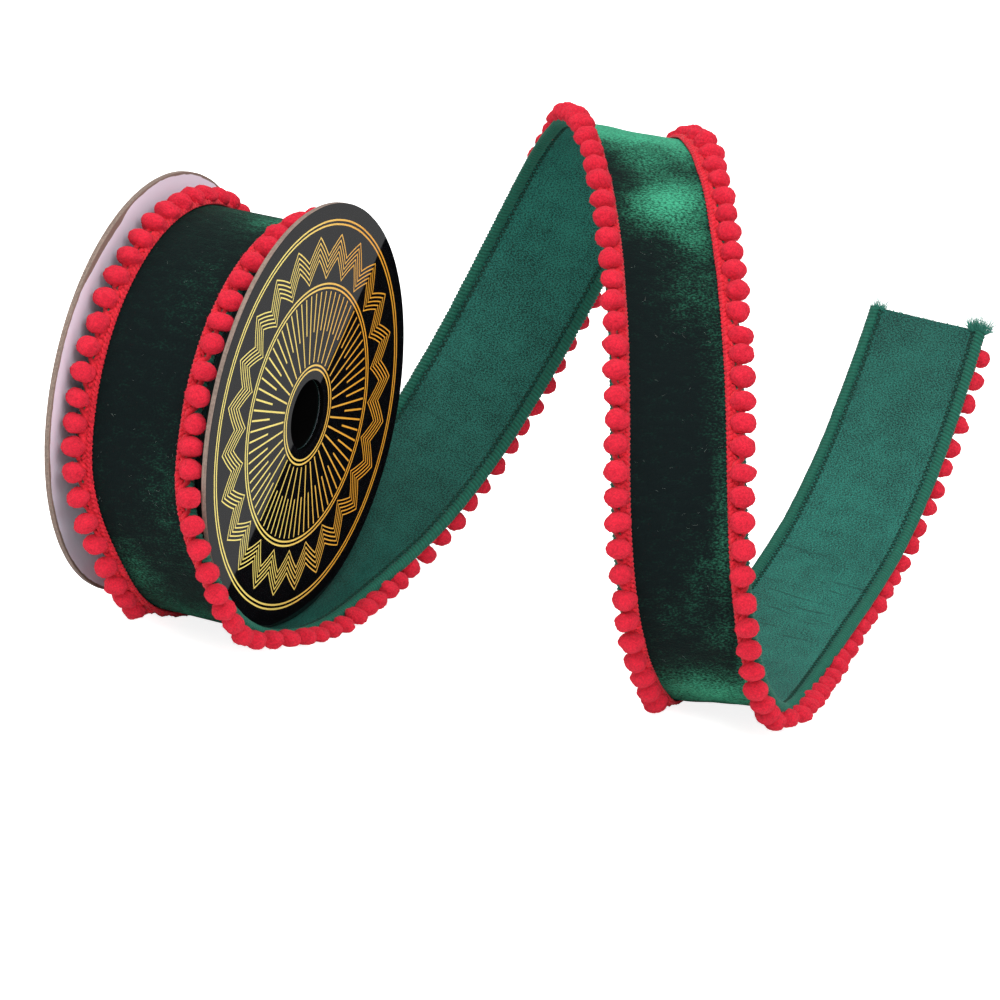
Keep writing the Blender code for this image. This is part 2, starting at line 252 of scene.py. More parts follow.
class RibbonPath:
    """The ribbon's middle line, by length from its hidden end, with the direction across it."""

    def __init__(self, points, acrosses, spacing=0.0005):
        rows = np.array([(*p, *a) for p, a in zip(points, acrosses)])
        knots = run_length(rows[:, :3])
        self.fine = natural_spline(knots, rows)(np.linspace(0.0, knots[-1], int(knots[-1] / spacing)))
        self.lengths = run_length(self.fine[:, :3])
        self.length = float(self.lengths[-1])

    def rows(self, at):
        return np.stack([np.interp(at, self.lengths, self.fine[:, k]) for k in range(6)], axis=-1)

    def rulings(self, at):
        here = self.rows(at)
        along = unit(self.rows(at + 2 * NEARBY)[:, :3] - self.rows(at - 2 * NEARBY)[:, :3])
        return here[:, :3], unit(square_to(here[:, 3:], along))

    def frames(self, at, over):
        """Points this far along and across, and unit vectors along, across and out of the velvet there."""
        at = np.asarray(at, dtype=float)
        over = spread_to(over, at)
        middle, across = self.rulings(at)
        ahead, ahead_across = self.rulings(np.minimum(at + NEARBY, self.length))
        behind, behind_across = self.rulings(np.maximum(at - NEARBY, 0.0))
        along = ahead - behind + (ahead_across - behind_across) * over
        along = unit(square_to(along, across))
        return middle + across * over, along, across, np.cross(along, across)

    def points(self, at, over, out):
        place, _, _, outward = self.frames(at, over)
        return place + outward * spread_to(out, place)

    def length_at(self, place):
        """The length at which the middle line passes closest to a place."""
        return float(self.lengths[np.argmin(np.sum((self.fine[:, :3] - np.array(place)) ** 2, axis=1))])


def ribbon_path():
    """Once round the roll from under the loose end, and then along it to the cut."""
    points = []
    angle = START_ANGLE + TAU - HIDDEN_ANGLE
    while angle > START_ANGLE + TURN_STEP:
        lift = LAYER * (1.0 - (angle - START_ANGLE) / TAU)
        points.append(on_spool(ROLL_ALONG, ROLL_RADIUS + lift - SHEET / 2, angle))
        angle -= TURN_STEP
    for k in range(JOIN_ROWS):
        angle = JOIN_ANGLE + (LEAVE_ANGLE - START_ANGLE) * k / (JOIN_ROWS - 1)
        lift = LAYER * (START_ANGLE - angle) / TAU
        points.append(on_spool(ROLL_ALONG, ROLL_RADIUS + lift + 1.5 * GAP + SHEET / 2, angle))
    acrosses = [AXIS] * len(points)
    for row in TAIL:
        turn, rise = math.radians(row.turn), math.radians(row.rise)
        points.append(Vector((row.x, row.y, row.z)) * MM)
        level = math.cos(rise)
        acrosses.append(Vector((level * math.cos(turn), level * math.sin(turn), math.sin(rise))))
    return RibbonPath(points, acrosses)


PATH = ribbon_path()
TAIL_BEGINS = PATH.length_at(on_spool(ROLL_ALONG, ROLL_RADIUS + SHEET, JOIN_ANGLE))
TRIM_BEGINS = PATH.length_at(on_spool(ROLL_ALONG, ROLL_RADIUS, -TRIM_END_ANGLE))


def by_place(at, table):
    """Values along the ribbon, from a table of distances before its cut end and the value at each."""
    return np.interp(PATH.length - at, *np.transpose(table))


# ---------------------------------------------------------------- meshes
HAIR_RINGS, HAIR_SIDES = 5, 3
HAIR_TAPER = 0.75
SLANTED = (0.31, 0.47, 0.83)  # a way that no strand runs, from which its sides are taken
NOISE_DRAWS = 3  # waves of each length
NOISE_STRETCH, NOISE_SLANT = (0.8, 1.25), (-0.4, 0.4)
NOISE_RANGE = 5.0


def smooth_noise(at, over, seed, waves=((0.018, 0.020), (0.031, 0.045), (0.050, 0.030))):
    """Soft unevenness between about -1 and 1 along and across the ribbon."""
    draw = np.random.default_rng(seed)
    total = np.zeros(np.shape(at))
    for wave_along, wave_across in waves:
        for _ in range(NOISE_DRAWS):
            stretch = draw.uniform(*NOISE_STRETCH, 2)
            turn = draw.uniform(0, TAU, 2)
            slant = draw.uniform(*NOISE_SLANT)
            total += (np.sin(TAU * (at + slant * over) / (wave_along * stretch[0]) + turn[0])
                      * np.cos(TAU * over / (wave_across * stretch[1]) + turn[1]))
    return total / NOISE_RANGE


def noise_along(at, seed, *waves):
    """Soft unevenness along the ribbon alone, of waves about this long."""
    return smooth_noise(at, 0.0 * at, seed, [(wave, 1.0) for wave in waves])


def placed(name, data):
    """An object with this data, in the scene."""
    made = bpy.data.objects.new(name, data)
    bpy.context.scene.collection.objects.link(made)
    return made


def mesh_object(name, points, faces, slot, materials, flat=None, stuff=None, smooth=True, **marks):
    """A piece from arrays of points and faces. flat holds a pair of flat coordinates for each point, stuff
    the number of each face's material, and any other keyword a number for each point for its material."""
    mesh = bpy.data.meshes.new(name)
    mesh.from_pydata(np.asarray(points).tolist(), [], np.asarray(faces).tolist())
    for item in materials:
        mesh.materials.append(item)
    if stuff is not None:
        mesh.polygons.foreach_set("material_index", np.asarray(stuff, dtype=np.int32))
    if flat is not None:
        corners = np.empty(len(mesh.loops), dtype=np.int32)
        mesh.loops.foreach_get("vertex_index", corners)
        layer = mesh.uv_layers.new(name="flat")
        layer.uv.foreach_set("vector", np.asarray(flat, dtype=np.float32)[corners].ravel())
    for label, values in marks.items():
        layer = mesh.attributes.new(label, "FLOAT", "POINT")
        layer.data.foreach_set("value", np.asarray(values, dtype=np.float32))
    mesh.polygons.foreach_set("use_smooth", np.full(len(mesh.polygons), smooth))
    mesh.update()
    piece = placed(name, mesh)
    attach(piece, "root")
    return piece


def grid_faces(rows, columns, wrap=False):
    """Four-sided faces between neighbours in a grid of points, closed across the columns if wrap is set."""
    i = np.arange(rows - 1)[:, None]
    j = np.arange(columns if wrap else columns - 1)[None, :]
    k = (j + 1) % columns
    corners = (i * columns + j, i * columns + k, (i + 1) * columns + k, (i + 1) * columns + j)
    return np.stack(np.broadcast_arrays(*corners), axis=-1).reshape(-1, 4)


def ring_faces(rows, columns):
    """The same for a grid that is closed both ways."""
    return grid_faces(rows + 1, columns, wrap=True) % (rows * columns)


def turns(sides):
    """The angles of a section's corners."""
    return TAU * np.arange(sides) / sides


def tube_along(at, over, out, radius, sides):
    """Points and faces of a strand whose middle lies over and out of the ribbon's middle plane."""
    place = PATH.points(at, over, out)
    run = unit(np.gradient(place, axis=0))
    _, _, across, _ = PATH.frames(at, over)
    side = unit(square_to(across, run))
    third = np.cross(run, side)
    turn = turns(sides)[None, :, None]
    ring = side[:, None, :] * np.cos(turn) + third[:, None, :] * np.sin(turn)
    points = place[:, None, :] + ring * spread_to(radius, at)[..., None]
    return points.reshape(-1, 3), grid_faces(len(at), sides, wrap=True)


def joined(parts):
    """Arrays of points and faces put together into one pair."""
    points, faces, first = [], [], 0
    for some_points, some_faces in parts:
        points.append(some_points)
        faces.append(some_faces + first)
        first += len(some_points)
    return np.concatenate(points), np.concatenate(faces)


def hairs(roots, ways, lengths, bends, radius):
    """Thin tapered strands, from arrays with a row for each."""
    share = np.linspace(0.0, 1.0, HAIR_RINGS)[None, :, None]
    reach = np.asarray(lengths)[:, None, None] * share
    middle = roots[:, None, :] + ways[:, None, :] * reach + bends[:, None, :] * reach * share
    side = unit(np.cross(ways, SLANTED))[:, None, None, :]
    third = unit(np.cross(ways, side[:, 0, 0, :]))[:, None, None, :]
    turn = turns(HAIR_SIDES)[None, None, :, None]
    ring = (np.cos(turn) * side + np.sin(turn) * third) * radius * (1.0 - HAIR_TAPER * share)[..., None]
    points = (middle[:, :, None, :] + ring).reshape(-1, 3)
    firsts = HAIR_RINGS * HAIR_SIDES * np.arange(len(roots))
    return points, (grid_faces(HAIR_RINGS, HAIR_SIDES, wrap=True) + firsts[:, None, None]).reshape(-1, 4)


def above_floor(points, low=0.0001):
    points[:, 2] = np.maximum(points[:, 2], low)
    return points


# ---------------------------------------------------------------- shader nodes
def opaque(tint, share=1.0):
    return (*(share * c for c in tint), 1.0)


class Nodes:
    """Short ways to add and link nodes in one tree."""

    def __init__(self, tree):
        self.tree = tree

    def add(self, kind, **values):
        node = self.tree.nodes.new("ShaderNode" + kind)
        for name, value in values.items():
            setattr(node, name, value)
        return node

    def feed(self, value, socket):
        if isinstance(value, bpy.types.NodeSocket):
            self.tree.links.new(value, socket)
        else:
            socket.default_value = value

    def fed(self, kind, *values, output=0, **settings):
        """The output of a new node whose first sockets are fed these values."""
        node = self.add(kind, **settings)
        for value, socket in zip(values, node.inputs):
            self.feed(value, socket)
        return node.outputs[output]

    def math(self, operation, *values):
        return self.fed("Math", *values, operation=operation)

    def plus(self, one, two):
        return self.math("ADD", one, two)

    def minus(self, one, two):
        return self.math("SUBTRACT", one, two)

    def times(self, one, two):
        return self.math("MULTIPLY", one, two)

    def scaled(self, value, by, shift):
        return self.math("MULTIPLY_ADD", value, by, shift)

    def vector(self, operation, *values, output="Vector"):
        return self.fed("VectorMath", *values, operation=operation, output=output)

    def ramp(self, value, low, high, start=0.0, end=1.0):
        return self.fed("MapRange", value, low, high, start, end, interpolation_type="SMOOTHSTEP")

    def mix(self, share, one, two):
        node = self.add("Mix", data_type="RGBA")
        for value, socket in ((share, 0), (one, 6), (two, 7)):
            self.feed(value, node.inputs[socket])
        return node.outputs[2]

    def tones(self, share, tint, dull):
        """From a duller tone of a tint to the tint itself."""
        return self.mix(share, opaque(tint, dull), opaque(tint))

    def named(self, kind, output, values):
        """The output of a new node whose sockets are fed values by name."""
        node = self.add(kind)
        for name, value in values.items():
            self.feed(value, node.inputs[name])
        return node.outputs[output]

    def noise(self, vector, scale, detail=2.0, roughness=0.5):
        return self.named("TexNoise", "Fac", {"Vector": vector, "Scale": scale, "Detail": detail,
                                              "Roughness": roughness})

    def stretched(self, vector, along, across):
        return self.named("Mapping", "Vector", {"Vector": vector, "Scale": (across, along, 1.0)})

    def bump(self, height, distance):
        return self.named("Bump", "Normal", {"Height": height, "Distance": distance, "Strength": 1.0})

    def flat(self):
        """A point's place on the flat pattern of its piece."""
        return self.fed("UVMap", uv_map="flat")

    def spot(self):
        return self.add("NewGeometry").outputs["Position"]

    def mark(self, name):
        """The numbers that a piece gives its points under this name."""
        return self.fed("Attribute", attribute_name=name, output="Fac")

    def group(self, fill, **values):
        node = self.add("Group", node_tree=shader_group(fill))
        for name, value in values.items():
            self.feed(value, node.inputs[name])
        return node.outputs


def shader_group(fill):
    """The shader node group that a function fills, built once, with a Vector and the sockets given below."""
    group = bpy.data.node_groups.get(fill.__name__)
    if group:
        return group
    group = bpy.data.node_groups.new(fill.__name__, "ShaderNodeTree")
    group.interface.new_socket("Vector", in_out="INPUT", socket_type="NodeSocketVector")
    given, results = GROUP_SOCKETS[fill]
    for label, default in given.items():
        socket = group.interface.new_socket(label, in_out="INPUT", socket_type="NodeSocketFloat")
        socket.default_value = default
    for label in results:
        group.interface.new_socket(label, in_out="OUTPUT", socket_type="NodeSocketFloat")
    given, results = group.nodes.new("NodeGroupInput"), group.nodes.new("NodeGroupOutput")
    nodes = Nodes(group)
    for label, value in fill(nodes, given.outputs).items():
        nodes.feed(value, results.inputs[label])
    return group


def thread_mottle(nodes, given):
    """Short threads of two tones that lie across the ribbon, with the height of their relief."""
    scale = nodes.fed("CombineXYZ", given["Across"], given["Along"])
    fine = nodes.noise(nodes.vector("MULTIPLY", given["Vector"], scale), 1.0, detail=3.0, roughness=0.7)
    coarse = nodes.noise(given["Vector"], 160.0)
    both = nodes.plus(nodes.times(fine, 0.92), nodes.times(coarse, 0.08))
    return {"Tone": nodes.ramp(both, 0.36, 0.64), "Height": fine}


def felt_fuzz(nodes, given):
    """Matted fibres in three dimensions: a tone and a height."""
    fine = nodes.noise(given["Vector"], given["Scale"], detail=4.0, roughness=0.75)
    coarse = nodes.noise(given["Vector"], nodes.times(given["Scale"], 0.16))
    both = nodes.plus(nodes.times(fine, 0.84), nodes.times(coarse, 0.16))
    return {"Tone": nodes.ramp(both, 0.38, 0.62), "Height": both}


def gold_lines(nodes, given):
    """Rings, rays and a zigzag border round a disc, with radii in shares of its own, and a ramp across it
    for painted reflection.
    """
    split = nodes.add("SeparateXYZ")
    nodes.feed(given["Vector"], split.inputs[0])
    x, y = split.outputs[0], split.outputs[1]
    radius = nodes.math("SQRT", nodes.plus(nodes.times(x, x), nodes.times(y, y)))
    turn = nodes.plus(nodes.math("DIVIDE", nodes.math("ARCTAN2", y, x), TAU), 0.5)
    half = nodes.times(given["Width"], 0.5)

    def between(low, high):
        return nodes.times(nodes.math("GREATER_THAN", radius, low), nodes.math("LESS_THAN", radius, high))

    def near(distance):
        return nodes.math("LESS_THAN", nodes.math("ABSOLUTE", distance), half)

    def wave(count, shift=0.0):
        """From -0.5 to 0.5 round each of this many equal sectors."""
        return nodes.minus(nodes.math("FRACT", nodes.plus(nodes.times(turn, count), shift)), 0.5)

    def rays(count, low, high, shift=0.0):
        gap = nodes.times(nodes.times(wave(count, shift), radius), TAU / count)
        return nodes.times(near(gap), between(low, high))

    def zigzag(count, middle, height):
        rise = nodes.times(nodes.math("ABSOLUTE", wave(count)), 2.0 * height)
        return near(nodes.minus(nodes.minus(radius, middle), rise))

    lines = [near(nodes.minus(radius, ring)) for ring in (0.215, 0.235, 0.60, 0.62, 0.90, 0.92)]
    lines += [rays(36, 0.25, 0.585), rays(36, 0.40, 0.585, 0.5)]
    lines += [zigzag(24, middle, 0.10) for middle in (0.645, 0.672, 0.699, 0.726, 0.753)]
    total = lines[0]
    for line in lines[1:]:
        total = nodes.math("MAXIMUM", total, line)
    return {"Mask": total, "Side": nodes.ramp(x, -0.5, 0.6)}


# Each group's own numbers with their defaults, and what it gives out.
GROUP_SOCKETS = {
    thread_mottle: ({"Along": 1500.0, "Across": 500.0}, ("Tone", "Height")),
    felt_fuzz: ({"Scale": 1400.0}, ("Tone", "Height")),
    gold_lines: ({"Width": 0.008}, ("Mask", "Side")),
}


# ---------------------------------------------------------------- materials
TEAR = (-0.58, 0.81, 0.0)  # where the lining is torn furthest back, in shares of the disc's radius


def new_material(name):
    """A material with an empty tree but for its shader, and its nodes."""
    made = bpy.data.materials.new(name)
    made.use_nodes = True
    return made, Nodes(made.node_tree)


def finished(made, nodes, sockets):
    """The material, once the sockets of its shader are fed."""
    shader = made.node_tree.nodes["Principled BSDF"]
    for label, value in sockets.items():
        nodes.feed(value, shader.inputs[label])
    return made


def velvet_material(settings):
    """Cut pile: nearly black where it is seen into, with ragged bright strokes of painted sheen."""
    made, nodes = new_material("velvet_pile")
    flat = nodes.flat()
    threads = nodes.group(thread_mottle, Vector=flat, Along=1500.0, Across=900.0)
    patches = nodes.ramp(nodes.noise(nodes.stretched(flat, 300.0, 170.0), 1.0, detail=4.0), 0.30, 0.70)
    tone = nodes.times(nodes.mark("shade"), nodes.scaled(threads["Tone"], 0.72, 0.64))
    tone = nodes.plus(tone, nodes.scaled(threads["Tone"], 0.26, -0.12))
    tone = nodes.ramp(nodes.plus(tone, nodes.scaled(patches, 0.16, -0.08)), 0.06, 1.45)
    height = nodes.plus(nodes.times(patches, 0.5), threads["Height"])
    return finished(made, nodes, {
        "Base Color": nodes.mix(tone, opaque(settings.pile_dark), opaque(settings.pile_bright)),
        "Normal": nodes.bump(height, 0.0006),
        "Roughness": 0.8,
        "Specular IOR Level": 0.08,
        "Sheen Weight": 0.04,
        "Sheen Roughness": 0.4,
        "Sheen Tint": (0.10, 0.75, 0.42, 1.0),
    })


def satin_material(settings):
    """The ribbon's back: fine bright and dull threads, with painted light and shade along it and thin
    creases across, darkened with painted shade where it is marked so.
    """
    made, nodes = new_material("satin_back")
    flat = nodes.flat()
    threads = nodes.group(thread_mottle, Vector=flat, Along=2300.0, Across=1500.0)
    crease_shade = nodes.ramp(nodes.noise(nodes.stretched(flat, 420.0, 45.0), 1.0), 0.60, 0.68)
    crease_shade = nodes.times(crease_shade, nodes.scaled(nodes.mark("shade"), 0.6, 0.08))
    clouds = nodes.ramp(nodes.noise(nodes.stretched(flat, 30.0, 55.0), 1.0, detail=4.0), 0.30, 0.70)
    tone = nodes.plus(nodes.ramp(threads["Tone"], 0.10, 0.90), nodes.scaled(clouds, 0.22, -0.11))
    tone = nodes.times(tone, nodes.minus(1.0, crease_shade))
    toned = nodes.add("VectorMath", operation="SCALE")
    nodes.feed(nodes.mix(tone, opaque(settings.satin_shade), opaque(settings.satin_colour)), toned.inputs[0])
    nodes.feed(nodes.mark("nap"), toned.inputs["Scale"])
    return finished(made, nodes, {
        "Base Color": toned.outputs[0],
        "Normal": nodes.bump(nodes.minus(threads["Height"], nodes.times(crease_shade, 0.8)), 0.0004),
        "Roughness": 0.45,
        "Specular IOR Level": 0.20,
        "Sheen Weight": 0.05,
        "Sheen Tint": (0.3, 0.9, 0.7, 1.0),
    })


def fibre_material(name, tint, finish, scale, dull, shade_share, relief):
    """Fine fibres of a duller and a brighter tone, with painted shade, a deeper tone still, where the piece
    is marked as hollow.
    """
    made, nodes = new_material(name)
    fuzz = nodes.group(felt_fuzz, Vector=nodes.spot(), Scale=scale)
    body = nodes.tones(fuzz["Tone"], tint, dull)
    return finished(made, nodes, {
        "Base Color": nodes.mix(nodes.mark("shade"), body, opaque(tint, shade_share)),
        "Normal": nodes.bump(fuzz["Height"], relief),
        **finish,
    })


def thread_material(name, tint, roughness=0.6):
    """Twisted thread, with painted shade in its grooves."""
    finish = {"Roughness": roughness, "Specular IOR Level": 0.2, "Sheen Weight": 0.08}
    return fibre_material(name, tint, finish, scale=2200.0, dull=0.62, shade_share=0.30, relief=0.0002)


def felt_material(settings):
    """Matted red fibre of the pompoms."""
    finish = {"Roughness": 1.0, "Specular IOR Level": 0.1, "Sheen Weight": 0.12,
              "Sheen Tint": (1.0, 0.35, 0.40, 1.0)}
    return fibre_material("pompom_felt", settings.felt_colour, finish, scale=1500.0, dull=0.72, shade_share=0.35,
                          relief=0.0011)


def print_material(settings):
    """Gloss black card with fine gold foil lines, painted lighter on the left as the foil's reflection."""
    made, nodes = new_material("gloss_print")
    flat = nodes.flat()
    lines = nodes.group(gold_lines, Vector=flat, Width=settings.line_width / DISC_RADIUS)
    gold = nodes.mix(lines["Side"], opaque(settings.gold_light), opaque(settings.gold_deep))
    return finished(made, nodes, {
        "Base Color": nodes.mix(lines["Mask"], opaque(settings.print_colour), gold),
        "Normal": nodes.bump(nodes.noise(flat, 3.0), 0.00004),
        "Roughness": nodes.plus(nodes.times(nodes.noise(flat, 6.0, detail=3.0), 0.06), 0.05),
        "Specular IOR Level": 0.5,
    })


def lining_material(settings):
    """Pale paper pasted on the card, its edge frayed a little short of the rim."""
    made, nodes = new_material("card_lining")
    flat = nodes.flat()
    from_tear = nodes.vector("DISTANCE", flat, TEAR, output="Value")
    torn = nodes.times(nodes.ramp(from_tear, 0.10, 0.30, 1.0, 0.0), 0.026)
    ragged = nodes.scaled(nodes.noise(flat, 6.0, detail=5.0, roughness=0.6), 0.026, torn)
    bare = nodes.ramp(nodes.plus(nodes.vector("LENGTH", flat, output="Value"), ragged), 0.999, 1.003)
    fibre = nodes.noise(flat, 160.0, detail=3.0)
    lining = settings.lining_colour
    paper = nodes.mix(nodes.times(fibre, 0.35), opaque(lining), opaque(lining, 0.82))
    return finished(made, nodes, {
        "Base Color": nodes.mix(bare, paper, nodes.tones(fibre, settings.board_colour, 0.6)),
        "Normal": nodes.bump(fibre, 0.0001),
        "Roughness": 0.65,
    })


def board_material(settings):
    """Raw cut edge of grey-brown board: pressed layers and loose fibres."""
    made, nodes = new_material("raw_board")
    spot = nodes.spot()
    grain = nodes.noise(spot, 900.0, detail=4.0, roughness=0.7)
    layers = nodes.noise(nodes.stretched(spot, 60.0, 2200.0), 1.0)
    tone = nodes.ramp(nodes.plus(nodes.times(grain, 0.6), nodes.times(layers, 0.4)), 0.35, 0.65)
    return finished(made, nodes, {
        "Base Color": nodes.tones(tone, settings.board_colour, 0.55),
        "Normal": nodes.bump(grain, 0.0004),
        "Roughness": 0.9,
    })


def plain_material(name, tint, roughness):
    """A surface with a faint grain and nothing else."""
    made, nodes = new_material(name)
    return finished(made, nodes, {
        "Base Color": nodes.tones(nodes.noise(nodes.spot(), 700.0, detail=3.0), tint, 0.8),
        "Roughness": roughness,
        "Specular IOR Level": 0.05,
    })


# ---------------------------------------------------------------- discs
DISC_STEPS = 360
DISC_BEVEL = 0.00015
NICK_DEPTH = 0.00012  # of the rim's small nicks, each about this many steps long
NICK_STEPS = 9
NICK_SEED = 3
PRINT, LINING, RAW_BOARD, HUB_WALL = range(4)
# Painted shade: the hub's bore is made black, as it lies deep in shade.
SHADE_BLACK = (0.001, 0.001, 0.001)


def disc_piece(name, node, slot, foot, up_face, settings):
    """A card disc from its profile: outer face up the axis from foot, with its edges a little rounded."""
    b = DISC_BEVEL
    low, high = foot, foot + BOARD
    hub, middle, rim = HUB_RADIUS, 0.5 * DISC_RADIUS, DISC_RADIUS
    profile = [  # radius, height, and what the face from here to the next point is made of
        (hub, high - b, up_face), (hub + b, high, up_face), (middle, high, up_face),
        (rim - 2 * b, high, up_face), (rim - b / 3, high - b / 2, RAW_BOARD), (rim, high - 2 * b, RAW_BOARD),
        (rim, low + 2 * b, RAW_BOARD), (rim - b / 3, low + b / 2, RAW_BOARD), (rim - 2 * b, low, LINING),
        (middle, low, LINING), (hub + b, low, LINING), (hub, low + b, HUB_WALL),
    ]
    draw = np.random.default_rng(NICK_SEED)
    nicks = draw.normal(0.0, 1.0, DISC_STEPS + NICK_STEPS - 1)
    nicks = np.convolve(nicks, np.ones(NICK_STEPS) / NICK_STEPS, "valid")
    points, flats = [], []
    for k in range(DISC_STEPS):
        angle = TAU * k / DISC_STEPS
        for radius, height, _ in profile:
            shy = NICK_DEPTH * abs(nicks[k]) if radius > middle else 0.0
            place = on_spool(height, radius - shy, angle)
            points.append((place.x, place.y, max(place.z, 0.0)))
            flats.append((-math.cos(angle) * radius / DISC_RADIUS, math.sin(angle) * radius / DISC_RADIUS))
    stuff = np.tile([material for _, _, material in profile], DISC_STEPS)
    materials = [print_material(settings), lining_material(settings), board_material(settings),
                 plain_material("hub_wall", SHADE_BLACK, 1.0)]
    faces = ring_faces(DISC_STEPS, len(profile))[:, ::-1]
    piece = mesh_object(name, points, faces, slot, materials, flats, stuff, smooth=stuff == RAW_BOARD)
    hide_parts(node)


class BuildDiscs(bpy.types.Operator):
    """Build the two card discs."""
    bl_idname = "pompom_trim.discs"
    bl_label = "Discs"

    def execute(self, context):
        settings = context.scene.trim_discs
        disc_piece("back_card", "back_disc", "card_lining", 0.0, LINING, settings)
        disc_piece("front_card", "front_disc", "gloss_print", SPOOL_WIDTH - BOARD, PRINT, settings)
        return {"FINISHED"}


# ---------------------------------------------------------------- roll
ROLL_STEPS = 120
SHOWN_TURNS = 18
TURN_RELIEF = 0.00035  # depth of the groove between two turns, on the roll's sides
TOP_TURN_RELIEF = 0.0004
TURN_EDGE = ((0.0, 1.0), (0.3, 0.2), (0.6, 0.0), (0.9, 0.3))  # shares of a layer, and of the relief there
SHY = 0.001  # how far the turns' edges lie in from the ribbon's


def roll_profile(angle):
    """(distance along the axis, radius) round the wound turns at this angle, with a groove between turns."""
    low = ROLL_ALONG - HALF_WIDTH + SHY
    high = ROLL_ALONG + HALF_WIDTH - SHY
    top = ROLL_RADIUS + LAYER * (1.0 - angle / TAU) - SHEET - GAP
    inner, outer = BOARD + GAP, SPOOL_WIDTH - BOARD - GAP
    points = [(inner, HUB_RADIUS), (inner, CORE_TURNS_RADIUS - SHY), (low, CORE_TURNS_RADIUS)]
    side = [(top - (SHOWN_TURNS - turn - share) * LAYER, dip * TURN_RELIEF)
            for turn in range(SHOWN_TURNS) for share, dip in TURN_EDGE]
    points += [(low + dip, radius) for radius, dip in side]
    points += [(low + TOP_TURN_RELIEF, top), (high - TOP_TURN_RELIEF, top)]
    points += [(high - dip, radius) for radius, dip in reversed(side)]
    points += [(high, CORE_TURNS_RADIUS), (outer, CORE_TURNS_RADIUS - SHY), (outer, HUB_RADIUS)]
    return points


class BuildRoll(bpy.types.Operator):
    """Build the wound turns under the outermost one."""
    bl_idname = "pompom_trim.roll"
    bl_label = "Roll"

    def execute(self, context):
        settings = context.scene.trim_ribbon
        points = []
        for k in range(ROLL_STEPS):
            angle = TAU * k / ROLL_STEPS
            points += [on_spool(along, radius, START_ANGLE + angle) for along, radius in roll_profile(angle)]
        columns = len(points) // ROLL_STEPS
        stuff = np.zeros(columns, dtype=int)
        stuff[-1] = 1
        # The wound turns' sides get the satin's darkest tone as painted shade of the spool's dark inside.
        materials = [thread_material("wound_edges", settings.satin_shade, 0.8),
                     plain_material("bore_wall", SHADE_BLACK, 1.0)]
        piece = mesh_object("wound_turns", points, ring_faces(ROLL_STEPS, columns), "velvet", materials,
                            stuff=np.tile(stuff, ROLL_STEPS))
        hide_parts("ribbon_roll")
        return {"FINISHED"}


# ---------------------------------------------------------------- ribbon
CLOTH_HALF = HALF_WIDTH - 0.0018  # the cloth ends inside its overlocked edge
CLOTH_COLUMNS = 31
UNEVENNESS = 0.0004
STRAY_SEED = 11
MOST_MARKED = 1.1  # what soft spots of a colour reach at most where they lie over each other
FREE_FROM, FREE_OVER = 0.22, 0.04  # the loose end strays from here on, growing over this length

# Soft spots of the ribbon: where they lie, before its cut end and over from its middle line, how far they
# reach, how they slant and how strong they are.
Mark = namedtuple("Mark", "before_end over along across slant strength")
# Troughs and ridges of the loose end, by their depth.
DENTS = [Mark(*row) for row in (
    (0.498, -0.008, 0.008, 0.016, 0.2, 0.0013),
    (0.478, 0.006, 0.007, 0.018, 0.4, -0.0008),
    (0.300, 0.006, 0.009, 0.016, 0.2, -0.0007),
    (0.286, -0.004, 0.007, 0.018, 0.1, 0.0007),
    (0.240, -0.027, 0.030, 0.036, 0.0, -0.0040),
    (0.168, 0.004, 0.004, 0.016, 0.1, 0.0004),
    (0.152, -0.006, 0.004, 0.015, 0.1, 0.0004),
    (0.132, 0.004, 0.004, 0.018, 0.0, 0.0004),
)]
# Patches of painted sheen, where the pile is shown bright as it catches the light.
PAINTED_SHEEN_PATCHES = [Mark(*row) for row in (
    (0.534, 0.001, 0.018, 0.030, 0.15, 1.80),
    (0.512, 0.016, 0.012, 0.008, 0.0, 0.50),
    (0.502, -0.001, 0.010, 0.011, 0.0, 0.45),
    (0.478, 0.004, 0.013, 0.017, 0.30, 1.00),
    (0.460, 0.011, 0.009, 0.008, 0.0, 0.42),
    (0.436, 0.008, 0.016, 0.012, 0.3, 0.24),
    (0.400, 0.017, 0.040, 0.006, 0.0, 0.22),
    (0.345, 0.017, 0.022, 0.005, 0.0, 0.26),
    (0.325, 0.010, 0.013, 0.010, 0.0, 0.20),
    (0.302, 0.012, 0.007, 0.007, 0.2, 0.24),
    (0.310, -0.004, 0.009, 0.010, 0.0, 0.14),
    (0.264, 0.000, 0.017, 0.030, 0.0, 0.90),
    (0.280, 0.018, 0.016, 0.003, 0.0, 0.55),
    (0.905, -0.012, 0.018, 0.010, 0.0, 0.34),
    (0.875, 0.000, 0.014, 0.022, 0.2, 0.44),
    (0.935, 0.012, 0.030, 0.010, 0.0, 0.16),
    (1.072, 0.016, 0.014, 0.012, 0.3, 0.40),
    (1.082, 0.000, 0.016, 0.030, 0.0, 0.22),
    (1.020, 0.010, 0.020, 0.014, 0.0, 0.10),
)]
# Where its back is finely creased across, and painted darker in the creases as their shade.
CREASE_SHADE_MARKS = [Mark(*row) for row in (
    (0.145, 0.000, 0.045, 0.030, 0.0, 1.0),
    (0.720, 0.000, 0.060, 0.030, 0.0, 0.35),
)]
# Painted light and shade: how bright the ribbon's back looks, by distance before its cut end.
PAINTED_SHADING_ALONG = ((0.0, 0.56), (0.03, 0.62), (0.08, 0.78), (0.14, 0.86), (0.20, 0.84), (0.25, 0.76), (0.60, 0.95),
       (0.66, 0.74), (0.73, 0.48), (0.80, 0.42), (0.90, 0.42))


